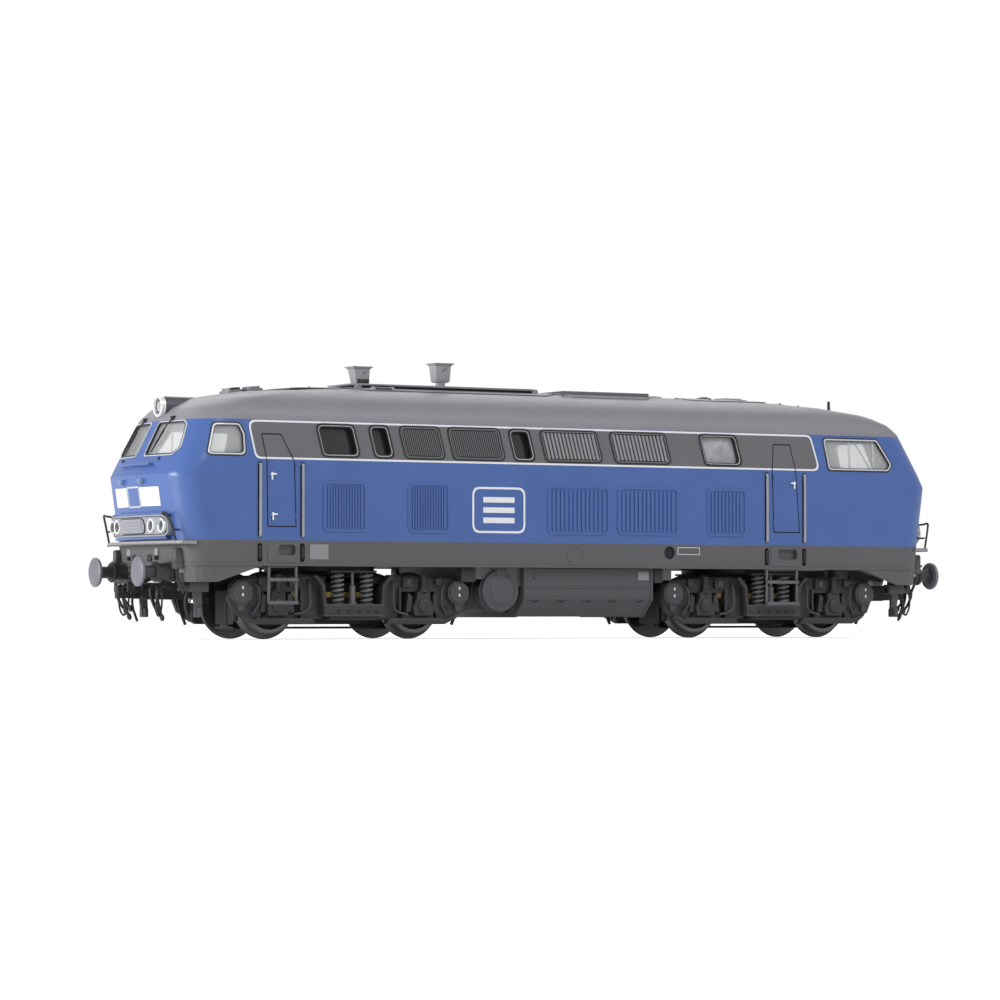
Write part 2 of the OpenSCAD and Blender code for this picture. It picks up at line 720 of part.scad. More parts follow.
module idler(side, s, phase) {
    color([0.85, 0.83, 0.78]) on_train(side, s) rotate([0, 0, phase]) difference() {
        linear_extrude(height = gear_w, center = true) gear_outline(idler_teeth);
        cylinder(h = gear_w + 1, r = gear_pin_r + running_gap, center = true, $fn = 32);
    }
}

module worm_wheel() {
    color([0.8, 0.68, 0.35]) on_train(1, 0) rotate([0, 0, 90]) difference() {
        linear_extrude(height = 1.8, center = true) gear_outline(worm_wheel_teeth);
        cylinder(h = 5, r = gear_pin_r + running_gap, center = true, $fn = 32);
    }
}

module worm() {
    color([0.72, 0.72, 0.72]) {
        lay_x(-worm_length / 2, 0, drive_z)
            linear_extrude(height = worm_length, twist = -360 * worm_turns,
                slices = 12 * worm_turns, convexity = 10, $fn = 12)
                translate([-worm_depth, 0]) circle(r = worm_r - 0.05, $fn = 14);
        lay_x(-cup_near - 0.2, 0, drive_z) cylinder(h = cup_near + 6, r = journal_r, $fn = 32);
        difference() {
            lay_x(-cup_far, 0, drive_z) cylinder(h = cup_far - cup_near, r = cup_r);
            lay_x(-cup_far - 1, 0, drive_z) cylinder(h = cup_far - cup_near + 0.6, r = cup_bore_r);
        }
    }
}

// ---- bogie, with its pivot on Z and the motor on its -X side ----
module case_profile() {
    half = axle_x + 4.9;
    polygon([[-half, case_bottom_z], [half, case_bottom_z], [half, 8.6], [9, plate_low_z - 0.6],
        [-9, plate_low_z - 0.6], [-half, 8.6]]);
}

module gear_case() {
    slot_r = idler_r + 0.7;
    color([0.1, 0.1, 0.11]) difference() {
        union() {
            lay_y(0, 0, 0) linear_extrude(height = 2 * case_y, center = true) case_profile();
            translate([0, 0, plate_low_z - 1]) cylinder(h = 0.95, r = shoulder_r);
            translate([0, 0, plate_low_z - 0.1])
                cylinder(h = plate_top_z + 0.1 - plate_low_z, r = neck_r, $fn = 96);
            block([-5.3, -case_y, plate_top_z - 0.1], [6.2, case_y, case_top_z]);
        }
        lay_y(0, 0, 0) translate([0, 0, -case_slot_y]) linear_extrude(height = 2 * case_slot_y) {
            translate([0, worm_wheel_z]) circle(r = worm_wheel_r + 0.8);
            for (side = [-1, 1]) translate([0, worm_wheel_z])
                rotate(side > 0 ? train_angle : 180 - train_angle)
                    translate([0, -slot_r]) square([idler_lower_s + slot_r, 2 * slot_r]);
            for (side = [-1, 1]) {
                translate([side * axle_x, axle_z]) circle(r = axle_gear_r + 0.8);
                translate([side * axle_x - axle_gear_r - 0.8, 0])
                    square([2 * axle_gear_r + 1.6, axle_z]);
            }
        }
        block([-3.95, -2.6, worm_wheel_z + 1], [3.95, 2.6, case_top_z + 1]);
        block([-12, -3.5, 15.4], [-5.15, 3.5, case_top_z + 1]);
        lay_x(-10, 0, drive_z) cylinder(h = 20, r = bush_r, $fn = 32);
        for (side = [-1, 1]) {
            lay_y(side * axle_x, 0, axle_z) cylinder(h = 20, r = axle_r + running_gap, center = true);
            block([side * axle_x - axle_r - running_gap, -9, 0],
                [side * axle_x + axle_r + running_gap, 9, axle_z]);
            for (s = [idler_upper_s, idler_lower_s])
                on_train(side, s) cylinder(h = 20, r = gear_pin_r, center = true, $fn = 32);
        }
        on_train(1, 0) cylinder(h = 20, r = gear_pin_r, center = true, $fn = 32);
    }
}

module bottom_cover() {
    half = axle_x + 4.9;
    low_z = 1.1;
    color([0.12, 0.12, 0.13]) {
        block([-half, -case_y, low_z], [half, case_y, case_bottom_z - 0.45]);
        for (side = [-1, 1]) {
            for (y = [-case_y + 0.1, case_slot_y + 0.1])
                difference() {
                    block([side * axle_x - axle_r + 0.02, y, case_bottom_z - 0.5],
                        [side * axle_x + axle_r - 0.02, y + 2.2, axle_z]);
                    lay_y(side * axle_x, 0, axle_z)
                        cylinder(h = 20, r = axle_r + running_gap, center = true);
                }
            block([side * (half - 1.2) - 1.2, -2, case_bottom_z - 0.5],
                [side * (half - 1.2) + 1.2, 2, case_bottom_z]);
        }
    }
}

// Pins and bushes that carry the gears and the worm
module pins_and_bushes() {
    color([0.8, 0.68, 0.35]) {
        on_train(1, 0) cylinder(h = 2 * case_y - 1, r = gear_pin_r, center = true, $fn = 32);
        for (side = [-1, 1], s = [idler_upper_s, idler_lower_s])
            on_train(side, s) cylinder(h = 2 * case_y - 1, r = gear_pin_r, center = true, $fn = 32);
        for (x = [-5.1, 4.1]) lay_x(x, 0, drive_z) difference() {
            cylinder(h = x < 0 ? 1.1 : 1.9, r = bush_r, $fn = 32);
            cylinder(h = 12, r = journal_r + running_gap, center = true, $fn = 32);
        }
    }
}

module worm_cover() {
    gap = 0.02;
    color([0.14, 0.14, 0.15]) difference() {
        union() {
            translate([0, 0, plate_top_z + 0.1]) cylinder(h = 0.8, r = 11.2);
            block([-5.3, -case_y - 1, plate_top_z + 0.2], [7.2, case_y + 1, case_top_z + 0.9]);
        }
        block([-6, -case_y - gap, plate_top_z - 1], [6.2 + gap, case_y + gap, case_top_z + gap]);
        block([-20, -case_y - gap, plate_top_z - 1], [-5, case_y + gap, case_top_z - 1.4]);
    }
}

module spring_pair(side) {
    coils = 7;
    pitch = 6.6 / coils;
    for (x = [-3.2, 3.2]) translate([x, side * 14.2, 6]) rotate_extrude($fn = 32)
        polygon(concat([[0, 0]], [for (i = [0 : coils - 1])
            each [[1, i * pitch], [1.32, (i + 0.3) * pitch], [1.32, (i + 0.7) * pitch],
                [1, (i + 1) * pitch]]], [[0, 6.6]]));
    translate([0, side * 14.2, 6]) cylinder(h = 4, r = 0.65, $fn = 24);
    translate([0, side * 14.2, 6]) cylinder(h = 6.6, r = 0.35, $fn = 24);
}

module springs() {
    color([0.16, 0.16, 0.17]) for (side = [-1, 1]) spring_pair(side);
}

module side_frame() {
    back = 12;
    face = 13.2;
    color([0.24, 0.24, 0.26]) {
        lay_y(0, face, 0)
            linear_extrude(height = face - back)
                polygon([[-26, 9.6], [-21, 10.8], [-8.6, 11.8], [-6.6, 9.8], [-6, 6.1], [6, 6.1],
                    [6.6, 9.8], [8.6, 11.8], [21, 10.8], [26, 9.6], [26, 6.2], [22, 2.8], [8.6, 2.8],
                    [6, 3.3], [-6, 3.3], [-8.6, 2.8], [-22, 2.8], [-26, 6.2]]);
        block([-6, face - eps, 3.3], [6, 15.4, 6]);
        for (side = [-1, 1]) {
            translate([side * 24, face - eps, 8.3]) rotate([-90, 0, 0]) cylinder(h = 1.3, r = 2.45);
            block([side * axle_x - 2.2, face - eps, 3.6], [side * axle_x + 2.2, 14.2, 8.6]);
            block([side * axle_x - 0.7, face - eps, 8.6 - eps], [side * axle_x + 0.7, 14, 11.2]);
            block([side * 14 - 7.4, face - eps, 1.9], [side * 14 + 7.4, 14, 3]);
        }
        block([-5, case_y, 10], [5, back + eps, 11.6]);
        block([-8, back - 1.2, 10], [8, back + eps, 11.4]);
    }
}

module side_frames() {
    for (turn = [0, 180]) rotate([0, 0, turn]) side_frame();
}

module pickups() {
    color([0.8, 0.6, 0.35]) for (turn = [0, 180]) rotate([0, 0, turn]) {
        block([-axle_x, case_y, 7.4], [axle_x, case_y + 0.25, 8.4]);
        for (side = [-1, 1]) {
            block([side * (axle_x - 4) - 0.4, case_y + 0.25 - eps, 7.4],
                [side * (axle_x - 4) + 0.4, wheel_back_y - 0.25, 7.7]);
            block([side * (axle_x - 4) - 0.4, wheel_back_y - 0.28, 6],
                [side * (axle_x - 4) + 0.4, wheel_back_y - 0.03, 7.7]);
        }
    }
}

// Side +1 is the axle away from the motor
module wheelset(side) {
    flange_r = axle_z + flange_h;
    color([0.6, 0.6, 0.6]) translate([side * axle_x, 0, axle_z]) {
        for (turn = [0, 180]) rotate([0, 0, turn]) rotate([-90, 0, 0])
            translate([0, 0, wheel_back_y]) rotate_extrude($fn = 96)
                polygon([[axle_r + press_gap, 0], [flange_r - 0.25, 0], [flange_r, 0.25], [flange_r, 0.4],
                    [axle_z + 0.25, 0.75], [axle_z, 1], [axle_z - 0.05, wheel_w - 0.3],
                    [axle_z - 0.3, wheel_w], [axle_z - 1, wheel_w], [axle_z - 1.2, wheel_w - 0.9],
                    [1.9, wheel_w - 0.7], [1.7, wheel_w], [axle_r + press_gap, wheel_w]]);
        rotate([90, 0, 0]) cylinder(h = 2 * wheel_front_y + 0.2, r = axle_r, center = true);
        rotate([90, 0, 0]) rotate([0, 0, axle_phase(side)])
            linear_extrude(height = gear_w, center = true) difference() {
                gear_outline(axle_gear_teeth);
                circle(r = axle_r + press_gap);
            }
    }
}

// ---- coupler at the +X end ----
module coupler_drawbar() {
    x = coupler_pivot_x;
    color([0.12, 0.12, 0.12]) difference() {
        union() {
            translate([x, 0, 7.3]) cylinder(h = 2.9, r = 2.9);
            block([x, -1.6, 7.3], [80.2, 1.6, 9.7]);
            block([79.6, -2.5, coupler_z - 1.65], [pocket_mouth_x, 2.5, coupler_z + 1.65]);
        }
        translate([x, 0, 5]) cylinder(h = 8, r = 1.4 + running_gap, $fn = 32);
        block([80.6, -1.6, coupler_z - 0.85], [pocket_mouth_x + 1, 1.6, coupler_z + 0.85]);
    }
}

module coupler_head() {
    z = coupler_z;
    color([0.1, 0.1, 0.1]) difference() {
        union() {
            block([81, -1.55, z - 0.82], [pocket_mouth_x + 1, 1.55, z + 0.82]);
            block([pocket_mouth_x + 0.1, -2.4, z - 1.5], [pocket_mouth_x + 2.4, 2.4, z + 1.3]);
            block([pocket_mouth_x + 2.3, -0.7, z - 1.4], [93.6, 0.7, z - 0.1]);
            block([93, -0.7, z - 0.2], [93.6, 0.7, z + 1.2]);
            for (y = [-2, 2]) block([pocket_mouth_x + 2.3, y - 0.4, z - 0.6], [91.4, y + 0.4, z + 0.6]);
        }
        lay_y(pocket_mouth_x + 1.4, 0, z + 0.2)
            cylinder(h = 9, r = 0.5 + running_gap, center = true, $fn = 24);
        block([pocket_mouth_x + 0.5, -1.2, z - 0.8], [pocket_mouth_x + 3, 1.2, z + 3]);
    }
}

// Lifting loop, turning on its own cross pin in the coupler head
module coupler_loop() {
    z = coupler_z;
    x = pocket_mouth_x + 1.4;
    color([0.15, 0.15, 0.15]) {
        lay_y(x, 0, z + 0.2) cylinder(h = 6.4, r = 0.5, center = true, $fn = 24);
        for (y = [-3, 3]) block([x - 0.4, y - 0.3, z - 0.2], [coupler_loop_x, y + 0.3, z + 0.6]);
        block([coupler_loop_x - 0.6, -3.3, z + 0.6 - eps], [coupler_loop_x, -2.7, z + 1.6]);
        block([coupler_loop_x - 0.6, 2.7, z + 0.6 - eps], [coupler_loop_x, 3.3, z + 1.6]);
        block([coupler_loop_x - 0.6, -3.3, z + 1.4], [coupler_loop_x, 3.3, z + 2]);
    }
}

module bogie_1_gear_case() { at_bogie(-1) gear_case(); }
module bogie_1_bottom_cover() { at_bogie(-1) bottom_cover(); }
module bogie_1_side_frames() { at_bogie(-1) side_frames(); }
module bogie_1_springs() { at_bogie(-1) springs(); }
module bogie_1_worm_cover() { at_bogie(-1) worm_cover(); }
module bogie_1_pickups() { at_bogie(-1) pickups(); }
module bogie_1_pins_and_bushes() { at_bogie(-1) pins_and_bushes(); }
module bogie_1_worm() { at_bogie(-1) worm(); }
module bogie_1_worm_wheel() { at_bogie(-1) worm_wheel(); }
module bogie_1_idler_a() { at_bogie(-1) idler(1, idler_upper_s, upper_phase(1)); }
module bogie_1_idler_b() { at_bogie(-1) idler(1, idler_lower_s, lower_phase(1)); }
module bogie_1_idler_c() { at_bogie(-1) idler(-1, idler_upper_s, upper_phase(-1)); }
module bogie_1_idler_d() { at_bogie(-1) idler(-1, idler_lower_s, lower_phase(-1)); }
module wheelset_1() { at_bogie(-1) wheelset(1); }
module wheelset_2() { at_bogie(-1) wheelset(-1); }
module coupler_1_drawbar() { rotate([0, 0, 180]) coupler_drawbar(); }
module coupler_1_head() { rotate([0, 0, 180]) coupler_head(); }
module coupler_1_loop() { rotate([0, 0, 180]) coupler_loop(); }
module bogie_2_gear_case() { at_bogie(1) gear_case(); }
module bogie_2_bottom_cover() { at_bogie(1) bottom_cover(); }
module bogie_2_side_frames() { at_bogie(1) side_frames(); }
module bogie_2_springs() { at_bogie(1) springs(); }
module bogie_2_worm_cover() { at_bogie(1) worm_cover(); }
module bogie_2_pickups() { at_bogie(1) pickups(); }
module bogie_2_pins_and_bushes() { at_bogie(1) pins_and_bushes(); }
module bogie_2_worm() { at_bogie(1) worm(); }
module bogie_2_worm_wheel() { at_bogie(1) worm_wheel(); }
module bogie_2_idler_a() { at_bogie(1) idler(1, idler_upper_s, upper_phase(1)); }
module bogie_2_idler_b() { at_bogie(1) idler(1, idler_lower_s, lower_phase(1)); }
module bogie_2_idler_c() { at_bogie(1) idler(-1, idler_upper_s, upper_phase(-1)); }
module bogie_2_idler_d() { at_bogie(1) idler(-1, idler_lower_s, lower_phase(-1)); }
module wheelset_3() { at_bogie(1) wheelset(-1); }
module wheelset_4() { at_bogie(1) wheelset(1); }
module coupler_2_drawbar() { coupler_drawbar(); }
module coupler_2_head() { coupler_head(); }
module coupler_2_loop() { coupler_loop(); }

body_shell();
cab_glazing();
engine_room_glazing();
radiator_grille();
cooling_fan();
end_aprons();
roof_fittings();
lamp_lenses();
windscreen_wipers();
handrails();
buffers();
brake_hoses();
footsteps();
chassis_frame();
fuel_tank();
air_tanks();
cab_interiors();
circuit_board();
frame_screws();
motor_housing();
motor_rotor();
flywheels();
cardan_shaft_1();
cardan_shaft_2();
bogie_1_gear_case();
bogie_1_bottom_cover();
bogie_1_side_frames();
bogie_1_springs();
bogie_1_worm_cover();
bogie_1_pickups();
bogie_1_pins_and_bushes();
bogie_1_worm();
bogie_1_worm_wheel();
bogie_1_idler_a();
bogie_1_idler_b();
bogie_1_idler_c();
bogie_1_idler_d();
wheelset_1();
wheelset_2();
coupler_1_drawbar();
coupler_1_head();
coupler_1_loop();
bogie_2_gear_case();
bogie_2_bottom_cover();
bogie_2_side_frames();
bogie_2_springs();
bogie_2_worm_cover();
bogie_2_pickups();
bogie_2_pins_and_bushes();
bogie_2_worm();
bogie_2_worm_wheel();
bogie_2_idler_a();
bogie_2_idler_b();
bogie_2_idler_c();
bogie_2_idler_d();
wheelset_3();
wheelset_4();
coupler_2_drawbar();
coupler_2_head();
coupler_2_loop();
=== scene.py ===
import math
import bpy
import bmesh
from mathutils import Matrix, Vector
from mathutils.geometry import delaunay_2d_cdt


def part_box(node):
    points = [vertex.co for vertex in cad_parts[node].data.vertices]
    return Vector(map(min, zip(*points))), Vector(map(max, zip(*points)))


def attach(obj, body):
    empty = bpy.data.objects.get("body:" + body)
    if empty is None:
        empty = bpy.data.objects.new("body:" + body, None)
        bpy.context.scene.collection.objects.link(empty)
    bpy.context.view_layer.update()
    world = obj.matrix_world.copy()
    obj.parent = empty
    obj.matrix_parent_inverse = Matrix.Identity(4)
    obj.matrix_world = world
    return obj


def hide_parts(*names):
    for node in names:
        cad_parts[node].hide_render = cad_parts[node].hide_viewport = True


# Sizes are in millimetres, with X along the locomotive, Z up and the rail tops at zero.
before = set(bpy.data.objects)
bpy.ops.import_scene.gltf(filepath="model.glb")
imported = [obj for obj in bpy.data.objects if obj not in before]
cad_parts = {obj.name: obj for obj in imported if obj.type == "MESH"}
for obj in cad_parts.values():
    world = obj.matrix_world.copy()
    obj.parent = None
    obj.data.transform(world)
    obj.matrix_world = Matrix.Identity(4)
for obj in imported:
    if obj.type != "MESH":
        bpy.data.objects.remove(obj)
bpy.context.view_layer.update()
MM = 0.001


# ------------------------------------------------------------------ materials
def node(tree, kind, **values):
    """Adds a shader node; each value sets the input of that name, or else the property."""
    n = tree.nodes.new(kind)
    for key, value in values.items():
        if key in n.inputs:
            n.inputs[key].default_value = value
        else:
            setattr(n, key, value)
    return n


def ramp(tree, value, low=0.0, high=1.0, to_low=0.0, to_high=1.0):
    """Maps a value from low..high to to_low..to_high."""
    n = node(tree, "ShaderNodeMapRange")
    for name, number in zip(("From Min", "From Max", "To Min", "To Max"), (low, high, to_low, to_high)):
        n.inputs[name].default_value = number
    tree.links.new(value, n.inputs["Value"])
    return n.outputs["Result"]


def over(tree, share, base, colour):
    """Lays a colour over a base by a share."""
    n = node(tree, "ShaderNodeMix", data_type="RGBA")
    tree.links.new(share, n.inputs["Factor"])
    tree.links.new(base, n.inputs["A"])
    n.inputs["B"].default_value = (*colour, 1)
    return n.outputs["Result"]


def finish_of(name, colour, rough=0.45, metal=0.0, grain=0.02, tone=0.06, worn_edge_and_highlight=0.0,
              worn_edge_and_highlight_colour=(0.5, 0.5, 0.52), round_mm=0.04, coat=0.0, alpha=1.0, dust=0.0):
    """A moulded or painted surface: grain in the bump, cloudy tone, rounded edges lightened partly as wear
    and partly as painted highlight, dust.
    """
    m = bpy.data.materials.new(name)
    m.use_nodes = True
    t = m.node_tree
    surface = t.nodes["Principled BSDF"].inputs
    link = t.links.new
    place = node(t, "ShaderNodeTexCoord").outputs["Object"]
    cloud = node(t, "ShaderNodeTexNoise", Scale=160.0, Detail=4.0, Roughness=0.6)
    specks = node(t, "ShaderNodeTexNoise", Scale=9000.0, Detail=2.0)
    link(place, cloud.inputs["Vector"])
    link(place, specks.inputs["Vector"])
    base = node(t, "ShaderNodeVectorMath", operation="SCALE")
    base.inputs[0].default_value = colour
    link(ramp(t, cloud.outputs["Fac"], 0.3, 0.7, 1.0 - tone, 1.0 + tone), base.inputs["Scale"])
    result = base.outputs["Vector"]
    geometry = node(t, "ShaderNodeNewGeometry").outputs["Normal"]
    bump = node(t, "ShaderNodeBump", Strength=grain * 10, Distance=0.00002)
    if round_mm:
        bevel = node(t, "ShaderNodeBevel", samples=4)
        bevel.inputs["Radius"].default_value = round_mm * MM
        link(bevel.outputs["Normal"], bump.inputs["Normal"])
        # Lighter colour on the rounded edges: partly rubbed paint, partly painted highlight.
        if worn_edge_and_highlight:
            bent = node(t, "ShaderNodeVectorMath", operation="DOT_PRODUCT")
            link(bevel.outputs["Normal"], bent.inputs[0])
            link(geometry, bent.inputs[1])
            result = over(t, ramp(t, bent.outputs["Value"], 0.995, 0.8, 0.0, worn_edge_and_highlight), result, worn_edge_and_highlight_colour)
    if dust:
        split = node(t, "ShaderNodeSeparateXYZ")
        link(geometry, split.inputs["Vector"])
        result = over(t, ramp(t, split.outputs["Z"], 0.3, 1.0, 0.0, dust), result, (0.33, 0.33, 0.34))
    link(result, surface["Base Color"])
    link(ramp(t, cloud.outputs["Fac"], 0.3, 0.7, max(0.02, rough - 0.05), min(1.0, rough + 0.05)),
         surface["Roughness"])
    link(specks.outputs["Fac"], bump.inputs["Height"])
    link(bump.outputs["Normal"], surface["Normal"])
    surface["Metallic"].default_value = metal
    surface["Alpha"].default_value = alpha
    surface["Coat Weight"].default_value = coat
    m.diffuse_color = (*colour, alpha)
    return m


# The lighter blue on rounded edges is partly painted highlight and partly rubbed paint.
BLUE = finish_of("satin_blue", (0.057, 0.122, 0.36), 0.36, worn_edge_and_highlight=0.26, worn_edge_and_highlight_colour=(0.26, 0.37, 0.64),
                 tone=0.04, coat=0.25)
BAND = finish_of("band_grey", (0.125, 0.124, 0.135), 0.5, worn_edge_and_highlight=0.16, tone=0.04)
WHITE = finish_of("printed_white", (0.78, 0.79, 0.82), 0.45, round_mm=0.0, tone=0.02)
SKIRT = finish_of("skirt_grey", (0.098, 0.097, 0.104), 0.55, worn_edge_and_highlight=0.2, tone=0.05)
# Roof grey paint, made lighter than the paint to stand in for the highlight from above: partly painted
# highlight.
ROOF = finish_of("roof_grey", (0.225, 0.222, 0.25), 0.46, worn_edge_and_highlight=0.14, tone=0.05, grain=0.03)
GROOVE = finish_of("groove_shadow", (0.012, 0.013, 0.018), 0.7, round_mm=0.0)
SILVER = finish_of("silver_print", (0.62, 0.63, 0.66), 0.34, metal=0.35, tone=0.03)
SEAL = finish_of("window_seal", (0.012, 0.012, 0.014), 0.42, tone=0.1)
SLAT = finish_of("light_slats", (0.25, 0.25, 0.265), 0.5, worn_edge_and_highlight=0.12)
INSIDE = finish_of("shell_inside", (0.03, 0.035, 0.05), 0.7, round_mm=0.0)
FRAME_GREY = finish_of("running_gear_grey", (0.036, 0.036, 0.039), 0.58, worn_edge_and_highlight=0.3, dust=0.1,
                       worn_edge_and_highlight_colour=(0.2, 0.2, 0.21), tone=0.1, grain=0.03)
TANK_GREY = finish_of("tank_grey", (0.076, 0.075, 0.084), 0.5, worn_edge_and_highlight=0.22, worn_edge_and_highlight_colour=(0.28, 0.28, 0.3),
                      dust=0.06, tone=0.07, grain=0.03)
COVER_GREY = finish_of("axle_cover_grey", (0.058, 0.058, 0.062), 0.55, worn_edge_and_highlight=0.25, tone=0.08)
BLACK = finish_of("matt_black", (0.016, 0.016, 0.017), 0.52, worn_edge_and_highlight=0.25, tone=0.12,
                  worn_edge_and_highlight_colour=(0.13, 0.13, 0.14))
DETAIL_GREY = finish_of("step_grey", (0.115, 0.114, 0.122), 0.5, worn_edge_and_highlight=0.22, tone=0.06)
BUFFER = finish_of("buffer_grey", (0.165, 0.165, 0.2), 0.42, worn_edge_and_highlight=0.2, tone=0.06)
STEEL = finish_of("turned_steel", (0.55, 0.54, 0.53), 0.28, metal=1.0, tone=0.05, grain=0.03)
WHEEL_STEEL = finish_of("wheel_steel", (0.2, 0.195, 0.19), 0.38, metal=0.9, worn_edge_and_highlight=0.4,
                        worn_edge_and_highlight_colour=(0.5, 0.49, 0.47), tone=0.08)
WHEEL_DISC = finish_of("burnished_disc", (0.022, 0.021, 0.021), 0.5, metal=0.35, worn_edge_and_highlight=0.3,
                       worn_edge_and_highlight_colour=(0.2, 0.19, 0.18))
HOOD = finish_of("hood_grey", (0.32, 0.32, 0.34), 0.45, worn_edge_and_highlight=0.2, worn_edge_and_highlight_colour=(0.6, 0.6, 0.62))
BRASS = finish_of("brass", (0.62, 0.44, 0.16), 0.3, metal=1.0)
COPPER = finish_of("copper_winding", (0.5, 0.2, 0.09), 0.38, metal=0.9, tone=0.14)
ZINC = finish_of("zinc_casting", (0.16, 0.16, 0.17), 0.52, metal=0.6, tone=0.14, grain=0.05)
NYLON = finish_of("nylon_gear", (0.62, 0.58, 0.48), 0.5, tone=0.05)
CAB = finish_of("cab_moulding", (0.33, 0.34, 0.33), 0.55, worn_edge_and_highlight=0.2)
BOARD = finish_of("circuit_board_green", (0.02, 0.12, 0.045), 0.35, tone=0.25, coat=0.4)
LENS = finish_of("lamp_lens", (0.42, 0.42, 0.38), 0.08, coat=0.6, round_mm=0.05)
DARK_GLASS = finish_of("dark_glazing", (0.02, 0.022, 0.026), 0.1, coat=0.6, round_mm=0.0,
                       tone=0.3)
FROST = finish_of("frosted_pane", (0.42, 0.43, 0.45), 0.3, tone=0.32, coat=0.4, round_mm=0.0)
CLEAR = finish_of("clear_glazing", (0.9, 0.93, 0.95), 0.05, alpha=0.28, round_mm=0.0, coat=1.0,
                  tone=0.02)
SILVER_GREY = finish_of("lamp_unit_silver", (0.3, 0.31, 0.345), 0.38, metal=0.1, worn_edge_and_highlight=0.25,
                        worn_edge_and_highlight_colour=(0.6, 0.6, 0.63))
CHROME = finish_of("bright_trim", (0.86, 0.87, 0.89), 0.25, metal=0.25, tone=0.03, round_mm=0.03)
PALE_BLUE = finish_of("pale_blue_lug", (0.2, 0.3, 0.5), 0.4, worn_edge_and_highlight=0.3, worn_edge_and_highlight_colour=(0.6, 0.68, 0.8))
DETAIL_LIGHT = finish_of("board_grey", (0.27, 0.27, 0.29), 0.48, worn_edge_and_highlight=0.3, worn_edge_and_highlight_colour=(0.5, 0.5, 0.53))
HEADLIGHT_GREY = finish_of("headlight_housing", (0.075, 0.078, 0.1), 0.45, worn_edge_and_highlight=0.25)
LAMP_DARK = finish_of("lamp_glass_dark", (0.05, 0.046, 0.043), 0.22, coat=0.25, round_mm=0.0, tone=0.3)
RAIL = finish_of("rail_silver", (0.36, 0.37, 0.4), 0.35, metal=0.4, worn_edge_and_highlight=0.3, worn_edge_and_highlight_colour=(0.7, 0.7, 0.72))
DARK_GREY = finish_of("sleeve_grey", (0.038, 0.038, 0.043), 0.45, worn_edge_and_highlight=0.3, worn_edge_and_highlight_colour=(0.2, 0.2, 0.22))
SPRING_GREY = finish_of("spring_grey", (0.13, 0.13, 0.137), 0.42, worn_edge_and_highlight=0.3, worn_edge_and_highlight_colour=(0.3, 0.3, 0.31))


# ------------------------------------------------------------------ mesh helpers
def add_mesh(name, points, faces, mats, face_mats, sharp, body, far=False, gone=()):
    """Makes one piece from points in millimetres, with hard edges above sharp degrees; far adds the
    copy turned half a turn about Z, and gone names the CAD nodes that it stands for."""
    points = [Vector(p) * MM for p in points]
    if far:
        n = len(points)
        points = points + [Vector((-p.x, -p.y, p.z)) for p in points]
        faces = list(faces) + [[i + n for i in f] for f in faces]
        face_mats = face_mats + face_mats
    me = bpy.data.meshes.new(name)
    me.from_pydata(points, [], faces)
    for m in mats:
        me.materials.append(m)
    for p, k in zip(me.polygons, face_mats):
        p.material_index = k
        p.use_smooth = True
    me.validate()
    ob = bpy.data.objects.new(name, me)
    bpy.context.collection.objects.link(ob)
    b = bmesh.new()
    b.from_mesh(me)
    for e in b.edges:
        e.smooth = len(e.link_faces) == 2 and e.calc_face_angle(0) < math.radians(sharp)
    b.to_mesh(me)
    b.free()
    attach(ob, body)
    for g in gone:
        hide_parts(g)


